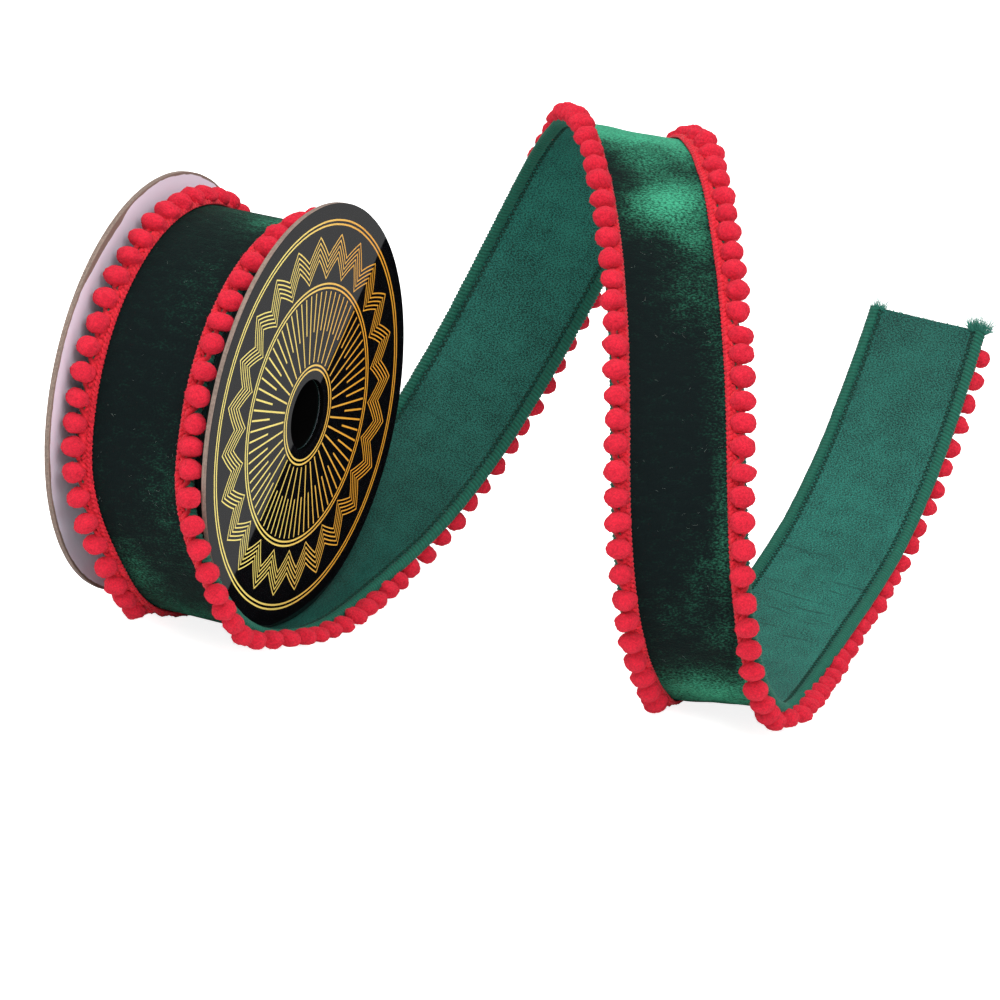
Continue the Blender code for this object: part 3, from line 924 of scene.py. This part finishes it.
def marked(at, over, table):
    """How strong a table's soft spots are together at these places on the ribbon."""
    total = np.zeros(np.shape(at))
    for mark in table:
        aside = over - mark.over
        away = (at - (PATH.length - mark.before_end)) + mark.slant * aside
        total += mark.strength * np.exp(-(away / mark.along) ** 2 - (aside / mark.across) ** 2)
    return total


def straying(at, over):
    """How far out of its true surface the loose ribbon lies: not at all on the roll and under the disc."""
    free = np.clip((at - TAIL_BEGINS - FREE_FROM) / FREE_OVER, 0.0, 1.0)
    return (UNEVENNESS * smooth_noise(at, over, STRAY_SEED) - marked(at, over, DENTS)) * free


class BuildRibbon(bpy.types.Operator):
    """Build the ribbon's outer turn and its loose end as one cloth."""
    bl_idname = "pompom_trim.ribbon"
    bl_label = "Ribbon"

    def execute(self, context):
        settings = context.scene.trim_ribbon
        rows = int(PATH.length / settings.cell)
        at = np.repeat(np.linspace(0.0, PATH.length, rows), CLOTH_COLUMNS)
        over = np.tile(np.linspace(-CLOTH_HALF, CLOTH_HALF, CLOTH_COLUMNS), rows)
        stray = straying(at, over)
        velvet = PATH.points(at, over, SHEET / 2 + stray)
        satin = PATH.points(at, over, stray - SHEET / 2)
        count, last = len(at), CLOTH_COLUMNS - 1
        top = grid_faces(rows, CLOTH_COLUMNS)
        line, across = np.arange(rows - 1) * CLOTH_COLUMNS, np.arange(last)
        cut = (rows - 1) * CLOTH_COLUMNS + across
        rims = ((line, line + CLOTH_COLUMNS), (line + CLOTH_COLUMNS + last, line + last),
                (across + 1, across), (cut, cut + 1))
        rims = [np.stack((one, two, two + count, one + count), axis=1) for one, two in rims]
        faces = np.concatenate((top, top[:, ::-1] + count, *rims))
        nap = by_place(at, PAINTED_SHADING_ALONG)
        # On the velvet the 'shade' mark is painted sheen; on the satin it is painted shade in the creases.
        shades = [np.clip(marked(at, over, table), 0.0, MOST_MARKED) for table in (PAINTED_SHEEN_PATCHES, CREASE_SHADE_MARKS)]
        piece = mesh_object("ribbon", np.concatenate((velvet, satin)), faces, "velvet",
                            [velvet_material(settings), satin_material(settings)],
                            flat=np.tile(np.stack((over, at), axis=1), (2, 1)),
                            stuff=np.arange(len(faces)) >= len(top),
                            shade=np.concatenate(shades), nap=np.concatenate((nap, nap)))
        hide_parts("ribbon_tail")
        edging = [overlocked_edge(edge, side, settings) for edge, side in SIDES.items()]
        edging += [seam_line(edge, side, settings) for edge, side in SIDES.items()]
        return {"FINISHED"}


# The overlocked edge's section, and its ribs.
EDGE_MIDDLE = HALF_WIDTH - 0.0026
EDGE_ACROSS, EDGE_OUT = 0.0021, 0.0019  # half widths
EDGE_SIDES = 10
EDGE_BEGINS = TRIM_BEGINS - 0.02
EDGE_UNEVENNESS = 0.00012
EDGE_WAVES = (0.007, 0.016)
EDGE_SEED = 21
ROWS_PER_RIB = 5
RIB_RELIEF = 0.00024
# The seam just inside it, a small zigzag on the ribbon's back.
SEAM_BEGINS = TAIL_BEGINS + 0.1
SEAM_OVER, SEAM_OUT = 0.0195, 0.0001
SEAM_SWAY = 0.00075
SEAM_WAVE = 0.0022
SEAM_THICK = 0.00062


def overlocked_edge(edge, side, settings):
    """The thread that is wound over the ribbon's edge, a rounded cord with a rib for each stitch."""
    rows = int((PATH.length - EDGE_BEGINS) / (settings.rib_pitch / ROWS_PER_RIB))
    at = np.repeat(np.linspace(EDGE_BEGINS, PATH.length, rows), EDGE_SIDES)
    turn = np.tile(turns(EDGE_SIDES), rows)
    phase = TAU * at / settings.rib_pitch + 2.0 * turn
    swell = RIB_RELIEF * np.cos(phase) + EDGE_UNEVENNESS * noise_along(at, EDGE_SEED + side, *EDGE_WAVES)
    over = side * (EDGE_MIDDLE + (EDGE_ACROSS + swell) * np.cos(turn))
    out = (EDGE_OUT + swell) * np.sin(turn)
    points = above_floor(PATH.points(at, over, out + straying(at, over)))
    faces = grid_faces(rows, EDGE_SIDES, wrap=True)[:, ::-side]
    thread = thread_material(f"edging_{edge}_thread", settings.thread_colour)
    # The shade mark is painted shade in the grooves between the ribs.
    return mesh_object(f"edging_{edge}", points, faces, "velvet", [thread],
                       shade=0.75 * (0.5 - 0.5 * np.cos(phase)) ** 2)


def seam_line(edge, side, settings):
    """The zigzag seam that holds the overlocking, on the ribbon's back, its dark thread also painted shade
    of the stitched groove.
    """
    line = np.arange(SEAM_BEGINS, PATH.length, SEAM_WAVE / 4)
    over = side * (SEAM_OVER + SEAM_SWAY * np.sin(TAU * line / SEAM_WAVE))
    out = straying(line, over) - SHEET / 2 - SEAM_OUT
    points, faces = tube_along(line, over, out, SEAM_THICK / 2, 4)
    thread = thread_material(f"seam_{edge}_thread", settings.stitch_colour, 0.8)
    return mesh_object(f"seam_{edge}", above_floor(points), faces, "velvet", [thread])


# ---------------------------------------------------------------- braid and pompoms
# A braid's strands: how far over they run and sway, how high they lie and swing, the length of their wave,
# where in it they start, their own thickness and how finely they are built.
Strand = namedtuple("Strand", "over sway out lift wave start thick step")
BRAID_OUT = SHEET / 2 + GAP + 0.0007
STRANDS = [Strand(*row) for row in (
    *((0.0197, 0.0013, BRAID_OUT, 0.0004, 0.0058, third / 3, 0.0018, 0.0008) for third in range(3)),
    (0.0216, 0.0014, BRAID_OUT + 0.0005, 0.0005, PITCH, 0.25, 0.0023, 0.0008),
    (0.0179, 0.0002, BRAID_OUT - 0.0003, 0.0002, 0.0018, 0.0, 0.0010, 0.0006),
)]
TWIST_WAVE, TWIST_RELIEF = 0.0011, 0.10  # of the thin rings that a strand's twist makes
LOOSE_WAVES = (0.005, 0.013, 0.021)
LOOSE_SEED = 41
LOOSE_PHASE, LOOSE_SWAY, LOOSE_SWELL = 0.8, 0.25, 0.15  # what loose plaiting does to a strand
MEASURED = np.arange(0.0, PATH.length + 0.001, 0.002)  # where an edge's own length is taken


def along_edge(line, side):
    """Places by the edge's own length, which differs from the ribbon's where the ribbon bends sideways."""
    run = run_length(PATH.points(np.minimum(MEASURED, PATH.length), side * HALF_WIDTH, 0.0))
    start, stop = TAIL_BEGINS + TRIM_START, PATH.length - TRIM_END
    run_start, run_stop = np.interp((start, stop), MEASURED, run)
    own = start + (np.interp(line, MEASURED, run) - run_start) * (stop - start) / (run_stop - run_start)
    return np.where(line < start, line, own)


def evenly(at, side):
    """Places along the ribbon for what is spaced evenly along its edge."""
    return np.interp(at, along_edge(MEASURED, side), MEASURED)


def braid_piece(edge, side, settings):
    """Plaited strands and loops along one edge, round the roll and to the loose end's cut."""
    parts, shades = [], []
    for row, strand in enumerate(STRANDS):
        line = np.arange(TRIM_BEGINS, PATH.length - TRIM_END, strand.step)
        loose = noise_along(line, LOOSE_SEED + row + side, *LOOSE_WAVES)
        run = along_edge(line, side) - TAIL_BEGINS - TRIM_START
        phase = TAU * (run / strand.wave + strand.start) + LOOSE_PHASE * loose
        over = side * (strand.over + strand.sway * (np.sin(phase) + LOOSE_SWAY * loose))
        out = strand.out + strand.lift * np.sin(2 * phase) + straying(line, over)
        swell = 1.0 + TWIST_RELIEF * np.sin(TAU * line / TWIST_WAVE) + LOOSE_SWELL * loose
        parts.append(tube_along(line, over, out, settings.strand * strand.thick / 2 * swell, 4))
        # Painted shade where a strand dips below the others.
        shades.append(np.repeat(0.30 - 0.30 * np.sin(2 * phase), 4))
    points, faces = joined(parts)
    thread = thread_material(f"braid_{edge}_thread", settings.braid_colour, 0.7)
    mesh_object(f"braid_{edge}", above_floor(points), faces, "pompom_trim", [thread],
                shade=np.concatenate(shades))


class BuildBraid(bpy.types.Operator):
    """Build the plaited braid that carries the pompoms along each edge."""
    bl_idname = "pompom_trim.braid"
    bl_label = "Braid"

    def execute(self, context):
        for edge, side in SIDES.items():
            braid_piece(edge, side, context.scene.trim_pompoms)
        return {"FINISHED"}


BALL_KINDS = 6
BALL_SWELLS = ((1.6, 0.060), (3.5, 0.035), (8.0, 0.016))  # waves round a ball and their heights
ROOT_OVER = 0.0212  # where a pompom's short neck leaves the braid
NECK = 0.0042  # from there to the pompom's middle
NECK_OVER, NECK_OUT = 0.55, 0.85  # the way that it points by itself
NECK_SIDES = 7
NECK_RINGS = ((-0.05, 0.34), (0.35, 0.26), (0.8, 0.4))  # shares of its length, and half widths in pompoms
WEIGHT = 0.8  # and how much it hangs down instead
LEAST_OUT = 0.0034  # a pompom's middle over the ribbon that it lies on
FACES_DOWN = -0.3  # how far down the velvet faces, as a share, where the pompoms hang below the ribbon
SPLAY_OVER, SPLAY_OUT = 0.0290, -0.0009  # and where there is no room below the ribbon
ROOM_LEAST, ROOM_ENOUGH = 0.0040, 0.0170
FLATTENED = 0.75  # a pompom's height there, as a share
ROLL_SQUEEZE = (0.96, 1.10, 1.0)  # a pompom's shape on the roll, along, across and out
JITTER_OVER, JITTER_OUT, JITTER_ALONG = 0.00022, 0.0002, 0.0003
SIZE_SPREAD = 0.035
MATTING = 0.012  # roughness of a ball, as a share of its radius
FIBRE_REACH, FIBRE_HALF_WIDTH, FIBRE_FOOT = 0.17, 0.017, 0.97  # as shares of a pompom's radius
FIBRE_SPREAD = 0.45
FIBRE_LEAST = 0.4  # the shortest fibre, as a share of the longest

# How far the pompoms of both rows have swung towards the near side, by distance before the cut end.
SWUNG = ((0.0, 0.0012), (0.18, 0.0012), (0.30, 0.0006), (0.50, 0.0002), (0.60, 0.0010), (0.78, 0.0014),
         (0.86, 0.0010), (0.92, 0.0024), (0.97, 0.0004), (1.01, 0.0004), (1.05, 0.0016))
# How far both rows are tucked under the ribbon, and where they stand out from it instead.
TUCKED = ((0.0, 0.0006), (0.18, 0.0006), (0.26, 0.0012), (0.40, 0.0005), (0.54, 0.0016), (0.62, 0.0026),
          (0.70, 0.0026), (0.78, 0.0014), (0.84, 0.0), (0.90, -0.0012), (0.97, -0.0012), (1.01, 0.0),
          (1.05, 0.0016))


def ball_kinds(draw):
    """Some lumpy balls of radius 1, as their points with the painted shade of each in the hollows, and all
    their triangles.
    """
    bm = bmesh.new()
    bmesh.ops.create_icosphere(bm, subdivisions=4, radius=1.0)
    round_points = np.array([v.co[:] for v in bm.verts])
    faces = np.array([[v.index for v in face.verts] for face in bm.faces])
    bm.free()
    kinds = []
    for _ in range(BALL_KINDS):
        swell = np.zeros(len(round_points))
        for wave, size in BALL_SWELLS:
            for _ in range(3):
                way = unit(draw.normal(size=3))
                swell += size * np.sin(wave * round_points @ way * 2 + draw.uniform(0, 6.28)) / 1.7
        matted = draw.normal(0.0, MATTING, len(round_points))
        kinds.append((round_points * (1.0 + swell + matted)[:, None], np.clip(-14.0 * matted, 0.0, 0.4)))
    return kinds, faces


def pompom_places(begin, end, side, settings, draw):
    """Middle, directions and half sizes of each pompom between two lengths, and where its neck begins."""
    count = int((end - begin) / PITCH)
    first = begin if begin > TAIL_BEGINS else end - count * PITCH
    at = evenly(first + PITCH * (np.arange(count) + 0.5), side)
    edge, _, _, outward = PATH.frames(at, side * HALF_WIDTH)
    down = np.maximum(-outward[:, 2], 0.001)
    room = np.where(outward[:, 2] < FACES_DOWN, edge[:, 2] / down, 1.0)
    share = np.clip((room - ROOM_LEAST) / (ROOM_ENOUGH - ROOM_LEAST), 0.0, 1.0)
    _, along, across, outward = PATH.frames(at, side * ROOT_OVER)
    ways = unit(np.stack((NECK_OVER - WEIGHT * side * across[:, 2], NECK_OUT - WEIGHT * outward[:, 2],
                          -WEIGHT * along[:, 2]), axis=1))
    hang_over = ROOT_OVER + NECK * ways[:, 0] + side * by_place(at, SWUNG) - by_place(at, TUCKED)
    hang_out = np.maximum(BRAID_OUT + NECK * ways[:, 1], LEAST_OUT)
    over = SPLAY_OVER + (hang_over - SPLAY_OVER) * share + draw.normal(0.0, JITTER_OVER, count)
    out = SPLAY_OUT + (hang_out - SPLAY_OUT) * share + draw.normal(0.0, JITTER_OUT, count)
    forth = 0.5 * NECK * ways[:, 2] * share + draw.normal(0.0, JITTER_ALONG, count)
    place, along, across, outward = PATH.frames(at, side * over)
    out += straying(at, side * over)
    middle = place + outward * out[:, None] + along * forth[:, None]
    sizes = (settings.pompom_along, settings.pompom_across, settings.pompom_out)
    sizes = sizes * draw.normal(1.0, SIZE_SPREAD, (count, 3))
    sizes[:, 2] *= FLATTENED + (1.0 - FLATTENED) * share
    if end <= TAIL_BEGINS + TRIM_START:
        sizes = sizes * ROLL_SQUEEZE
    root = PATH.points(at, side * ROOT_OVER, BRAID_OUT + GAP + straying(at, side * ROOT_OVER))
    return zip(middle, along, across, outward, sizes, root)


def random_turn(draw):
    """A matrix that turns any way round."""
    w, x, y, z = unit(draw.normal(size=4))
    return np.array([
        [1 - 2 * (y * y + z * z), 2 * (x * y - z * w), 2 * (x * z + y * w)],
        [2 * (x * y + z * w), 1 - 2 * (x * x + z * z), 2 * (y * z - x * w)],
        [2 * (x * z - y * w), 2 * (y * z + x * w), 1 - 2 * (x * x + y * y)],
    ])


def fibres_on(ball, count, draw):
    """Thin loose fibres that stand out of a ball, one triangle each."""
    foot = ball[draw.integers(0, len(ball), count)]
    out = unit(foot) + draw.normal(0.0, FIBRE_SPREAD, foot.shape)
    tip = foot + unit(out) * draw.uniform(FIBRE_LEAST, 1.0, (count, 1)) * FIBRE_REACH
    side = unit(np.cross(out, draw.normal(size=foot.shape))) * FIBRE_HALF_WIDTH
    points = np.stack((foot * FIBRE_FOOT - side, foot * FIBRE_FOOT + side, tip), axis=1).reshape(-1, 3)
    return points, np.arange(3 * count).reshape(-1, 3)


def neck(root, middle, size):
    """A short tuft between the braid and a pompom."""
    reach = np.linalg.norm(middle - root)
    way = (middle - root) / reach
    side = unit(np.cross(way, (0.3, 0.4, 0.86)))  # any way across it
    turn = turns(NECK_SIDES)[:, None]
    section = np.cos(turn) * side + np.sin(turn) * np.cross(way, side)
    rings = [root + way * reach * share + size * width * section for share, width in NECK_RINGS]
    quads = grid_faces(len(rings), NECK_SIDES, wrap=True)
    return np.concatenate(rings), np.concatenate((quads[:, [0, 1, 2]], quads[:, [0, 2, 3]]))


def pompom_piece(name, nodes, ends, side, settings, felt, kinds, ball_faces, seed):
    """A row of pompoms between two lengths, which stands for these nodes."""
    draw = np.random.default_rng(seed)
    parts, shades = [], []
    for middle, along, across, outward, sizes, root in pompom_places(*ends, side, settings, draw):
        ball, hollow_shade = kinds[draw.integers(0, len(kinds))]
        ball = ball @ random_turn(draw).T
        fuzz, fuzz_faces = fibres_on(ball, settings.fibres, draw)
        axes = np.stack((along * sizes[0], across * sizes[1], outward * sizes[2]))
        stalk, stalk_faces = neck(root, middle, sizes[0])
        tone = draw.uniform(0.0, 0.10)
        parts += [(middle + ball @ axes, ball_faces), (middle + fuzz @ axes, fuzz_faces),
                  (stalk, stalk_faces)]
        # Painted shade in the balls' hollows and on the necks, with a random tone of each pompom's own.
        shades += [hollow_shade + tone, np.full(len(fuzz), tone), np.full(len(stalk), 0.3)]
    points, faces = joined(parts)
    piece = mesh_object(name, above_floor(points), faces, "pompom_trim", [felt],
                        shade=np.concatenate(shades))
    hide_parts(*nodes)


class BuildPompoms(bpy.types.Operator):
    """Build the rows of pompoms."""
    bl_idname = "pompom_trim.pompoms"
    bl_label = "Pompoms"

    def execute(self, context):
        settings = context.scene.trim_pompoms
        kinds, faces = ball_kinds(np.random.default_rng(settings.seed))
        felt = felt_material(settings)
        tail = (TAIL_BEGINS + TRIM_START, PATH.length - TRIM_END)
        roll = (TRIM_BEGINS, TAIL_BEGINS + TRIM_START - 1e-9)  # just short of the loose end's first
        seed = settings.seed
        for edge, side in reversed(SIDES.items()):
            on_tail = [f"tail_trim_{edge}_{stretch}" for stretch in STRETCHES]
            for name, nodes, ends in ((f"tail_pompoms_{edge}", on_tail, tail),
                                      (f"roll_pompoms_{edge}", [f"roll_trim_{edge}"], roll)):
                seed += 1
                pompom_piece(name, nodes, ends, side, settings, felt, kinds, faces, seed)
        return {"FINISHED"}


# ---------------------------------------------------------------- loose threads
# Bunches of threads at the cut end: from where to where across it, how far out of its middle plane, how
# many, how long, and how far they spread.
Bunch = namedtuple("Bunch", "name start end out count reach spread")
BUNCHES = [Bunch(*row) for row in (
    ("cut_threads", -0.0235, 0.0225, 0.0005, 150, 0.0018, 0.5),
    ("near_tuft", 0.0175, 0.0250, 0.0012, 480, 0.0072, 0.8),
    ("far_tuft", -0.0235, -0.0185, 0.0012, 150, 0.0042, 0.6),
)]
# Bare wires of the ribbon's edges that stick out of the cut: over, and their ends along, across and out.
Wire = namedtuple("Wire", "over along across out")
WIRES = (Wire(-0.0195, 0.0120, 0.0040, -0.0006), Wire(0.0235, 0.0060, 0.0120, -0.0010))
THREAD_SEED = 5
WIRE_THICK = 0.00017  # half thicknesses
LINT_THICK = 0.00003
LINT_COUNT = 420
LINT_BEGINS, LINT_ENDS = TAIL_BEGINS - 0.12, PATH.length - 0.002
LINT_OVER = 0.0165
LINT_LENGTHS = (0.0004, 0.0016)
CUT_DEPTH = 0.0008  # how far inside the cut a frayed thread may begin
CUT_LEAST = 0.35  # the shortest thread of a bunch, as a share of the longest


def cut_bunch(bunch, draw, thread, thick):
    """Frayed threads that stick out of the cut."""
    count = bunch.count
    at = PATH.length - draw.uniform(0.0, CUT_DEPTH, count)
    over = draw.uniform(bunch.start, bunch.end, count)
    out = draw.uniform(-1.0, 1.0, count) * bunch.out
    root, along, across, outward = PATH.frames(at, over)
    root = root + outward * (out + straying(at, over))[:, None]
    aim = draw.normal(0.0, bunch.spread, (3, count, 1))
    ways = unit(along * (1.0 + 0.3 * aim[0]) + across * aim[1] + outward * aim[2])
    bends = unit(draw.normal(size=(count, 3))) * 0.35
    points, faces = hairs(root, ways, bunch.reach * draw.uniform(CUT_LEAST, 1.0, count), bends, thick)
    mesh_object(bunch.name, points, faces, "velvet", [thread])


def cut_wires():
    """The ribbon's edge wires, bare where they stick out of the cut."""
    frames = [PATH.frames(np.array([PATH.length]), wire.over) for wire in WIRES]
    roots = np.array([root[0] for root, _, _, _ in frames])
    ways = np.array([along[0] * wire.along + across[0] * wire.across + outward[0] * wire.out
                     for wire, (_, along, across, outward) in zip(WIRES, frames)])
    lengths = np.linalg.norm(ways, axis=1)
    points, faces = hairs(roots, unit(ways), lengths, 0.2 * unit(ways)[:, ::-1], WIRE_THICK)
    mesh_object("edge_wires", points, faces, "velvet", [plain_material("wire", (0.30, 0.33, 0.42), 0.4)])


def velvet_lint(draw):
    """Short pale threads that lie on the velvet."""
    at = draw.uniform(LINT_BEGINS, LINT_ENDS, LINT_COUNT)
    over = draw.uniform(-LINT_OVER, LINT_OVER, LINT_COUNT)
    root, along, across, outward = PATH.frames(at, over)
    root = root + outward * (SHEET / 2 + GAP / 2 + straying(at, over))[:, None]
    aim = draw.normal(size=(2, LINT_COUNT, 1))
    ways = unit(along * aim[0] + across * aim[1] + outward * 0.15)
    bends = square_to(unit(draw.normal(size=(LINT_COUNT, 3))), outward) * 0.6
    points, faces = hairs(root, ways, draw.uniform(*LINT_LENGTHS, LINT_COUNT), bends, LINT_THICK)
    mesh_object("lint", points, faces, "velvet", [plain_material("lint", (0.30, 0.36, 0.33), 0.9)])


class BuildThreads(bpy.types.Operator):
    """Build the frayed cut and the lint on the velvet."""
    bl_idname = "pompom_trim.threads"
    bl_label = "Loose threads"

    def execute(self, context):
        settings = context.scene.trim_ribbon
        draw = np.random.default_rng(THREAD_SEED)
        thread = thread_material("frayed_thread", settings.fray_colour, 0.8)
        for bunch in BUNCHES:
            cut_bunch(bunch, draw, thread, settings.fray_thick)
        cut_wires()
        velvet_lint(draw)
        return {"FINISHED"}


# ---------------------------------------------------------------- stage
HUB_IN_FRAME = (0.3076, 0.4150)  # where the front disc's middle comes in the frame, from its top left
SENSOR = 36.0  # millimetres
FLOOR_REACH = 6.0
WHITE = (1.0, 1.0, 1.0, 1.0)
LIGHT_AIM = Vector((0.10, 0.05, 0.09))
Light = namedtuple("Light", "name size place")
LIGHTS = [Light(*row) for row in (
    ("key", 0.8, (1.1, -1.2, 1.3)),
    ("top", 0.9, (0.15, -0.15, 1.5)),
    ("fill", 0.8, (-1.2, -0.9, 0.8)),
)]

# Boards that only the front disc mirrors, by the places where their corners show on it: towards the spool's
# foremost line and upwards, in shares of its radius.
BRIGHT_BOARD = ((1.50, -1.48), (-1.50, 1.52), (0.50, 3.50), (3.50, 0.50))
DARK_BOARD = ((-1.50, 1.52), (1.50, -1.48), (-0.50, -3.50), (-3.50, -0.50))
BOARD_DISTANCE = 0.008


def area_light(light, power):
    data = bpy.data.lights.new(light.name, "AREA")
    data.energy = power
    data.shape = "DISK"
    data.size = light.size
    lamp = placed(light.name, data)
    lamp.location = light.place
    lamp.rotation_euler = (LIGHT_AIM - lamp.location).to_track_quat("-Z", "Y").to_euler()


def set_camera(settings):
    turn, rise, roll = settings.camera_turn, settings.camera_rise, settings.camera_roll
    back = Vector((math.cos(rise) * math.sin(turn), -math.cos(rise) * math.cos(turn), math.sin(rise)))
    level = Vector((math.cos(turn), math.sin(turn), 0.0))
    upright = back.cross(level)
    right = level * math.cos(roll) + upright * math.sin(roll)
    up = upright * math.cos(roll) - level * math.sin(roll)
    data = bpy.data.cameras.new("camera")
    data.sensor_width = SENSOR
    data.lens = settings.camera_lens / MM
    data.clip_start, data.clip_end = 0.1, 20.0
    spread = settings.camera_distance * data.sensor_width / data.lens
    place = on_spool(SPOOL_WIDTH, 0.0, 0.0) + back * settings.camera_distance
    place += right * spread * (0.5 - HUB_IN_FRAME[0]) - up * spread * (0.5 - HUB_IN_FRAME[1])
    camera = placed("camera", data)
    camera.matrix_world = Matrix((right, up, back)).transposed().to_4x4()
    camera.location = place
    bpy.context.scene.camera = camera


def stage_plane(name, corners, made, nodes, tint, glow):
    """A matt plane that is no part of the roll, with this much light of its own."""
    mesh = bpy.data.meshes.new(name)
    mesh.from_pydata(corners, [], [(0, 1, 2, 3)])
    mesh.materials.append(finished(made, nodes, {
        "Base Color": opaque(tint),
        "Roughness": 1.0,
        "Specular IOR Level": 0.0,
        "Emission Color": WHITE,
        "Emission Strength": glow,
    }))
    plane = placed(name, mesh)
    return plane


def mirrored_board(name, shown_at, glow):
    """A board that stands where the front disc mirrors it to the camera. Nothing but mirrors sees it."""
    eye = bpy.context.scene.camera.location
    corners = []
    for front, up in shown_at:
        place = on_spool(SPOOL_WIDTH, 0.0, 0.0) + (FRONT * front + UP * up) * DISC_RADIUS
        corners.append(place + (place - eye).normalized().reflect(AXIS) * BOARD_DISTANCE)
    board = stage_plane(name, corners, *new_material(name), (0.0, 0.0, 0.0), glow)
    for ray in ("camera", "diffuse", "transmission", "volume_scatter", "shadow"):
        setattr(board, "visible_" + ray, False)


class BuildStage(bpy.types.Operator):
    """Set up the floor, the lights and the camera."""
    bl_idname = "pompom_trim.stage"
    bl_label = "Stage"

    def execute(self, context):
        settings = context.scene.trim_stage
        made, nodes = new_material("floor")
        seen = nodes.add("LightPath").outputs["Is Camera Ray"]
        corners = [(x * FLOOR_REACH, y * FLOOR_REACH, 0.0) for x, y in ((-1, -1), (1, -1), (1, 1), (-1, 1))]
        lift = nodes.times(seen, settings.floor_lift)
        stage_plane("floor", corners, made, nodes, settings.floor_colour, lift)
        world = bpy.data.worlds.new("soft_sky")
        world.use_nodes = True
        sky = Nodes(world.node_tree)
        background = world.node_tree.nodes["Background"]
        background.inputs["Color"].default_value = WHITE
        seen = sky.add("LightPath").outputs["Is Camera Ray"]
        sky.feed(sky.math("MAXIMUM", seen, settings.sky_strength), background.inputs["Strength"])
        context.scene.world = world
        context.scene.view_settings.view_transform = "Standard"
        for light in LIGHTS:
            area_light(light, getattr(settings, light.name + "_power"))
        set_camera(settings)
        mirrored_board("bright_board", BRIGHT_BOARD, settings.board_glow)
        mirrored_board("dark_board", DARK_BOARD, 0.0)
        return {"FINISHED"}


# ---------------------------------------------------------------- panel and registration
class TrimPanel(bpy.types.Panel):
    """The steps that build the roll of pompom trim."""
    bl_idname = "VIEW3D_PT_pompom_trim"
    bl_label = "Pompom Trim"
    bl_space_type = "VIEW_3D"
    bl_region_type = "UI"
    bl_category = "Pompom Trim"

    def draw(self, context):
        for step in STEPS:
            self.layout.operator(step.bl_idname)


SETTINGS = {
    "trim_discs": DiscSettings,
    "trim_ribbon": RibbonSettings,
    "trim_pompoms": TrimSettings,
    "trim_stage": StageSettings,
}
STEPS = (BuildDiscs, BuildRoll, BuildRibbon, BuildBraid, BuildPompoms, BuildThreads, BuildStage)


def register():
    for name, group in SETTINGS.items():
        bpy.utils.register_class(group)
        setattr(bpy.types.Scene, name, PointerProperty(type=group))
    for item in (*STEPS, TrimPanel):
        bpy.utils.register_class(item)


def unregister():
    for item in reversed((*STEPS, TrimPanel)):
        bpy.utils.unregister_class(item)
    for name, group in reversed(SETTINGS.items()):
        delattr(bpy.types.Scene, name)
        bpy.utils.unregister_class(group)


def main():
    register()
    for step in STEPS:
        family, name = step.bl_idname.split(".")
        getattr(getattr(bpy.ops, family), name)()


if __name__ == "__main__":
    main()
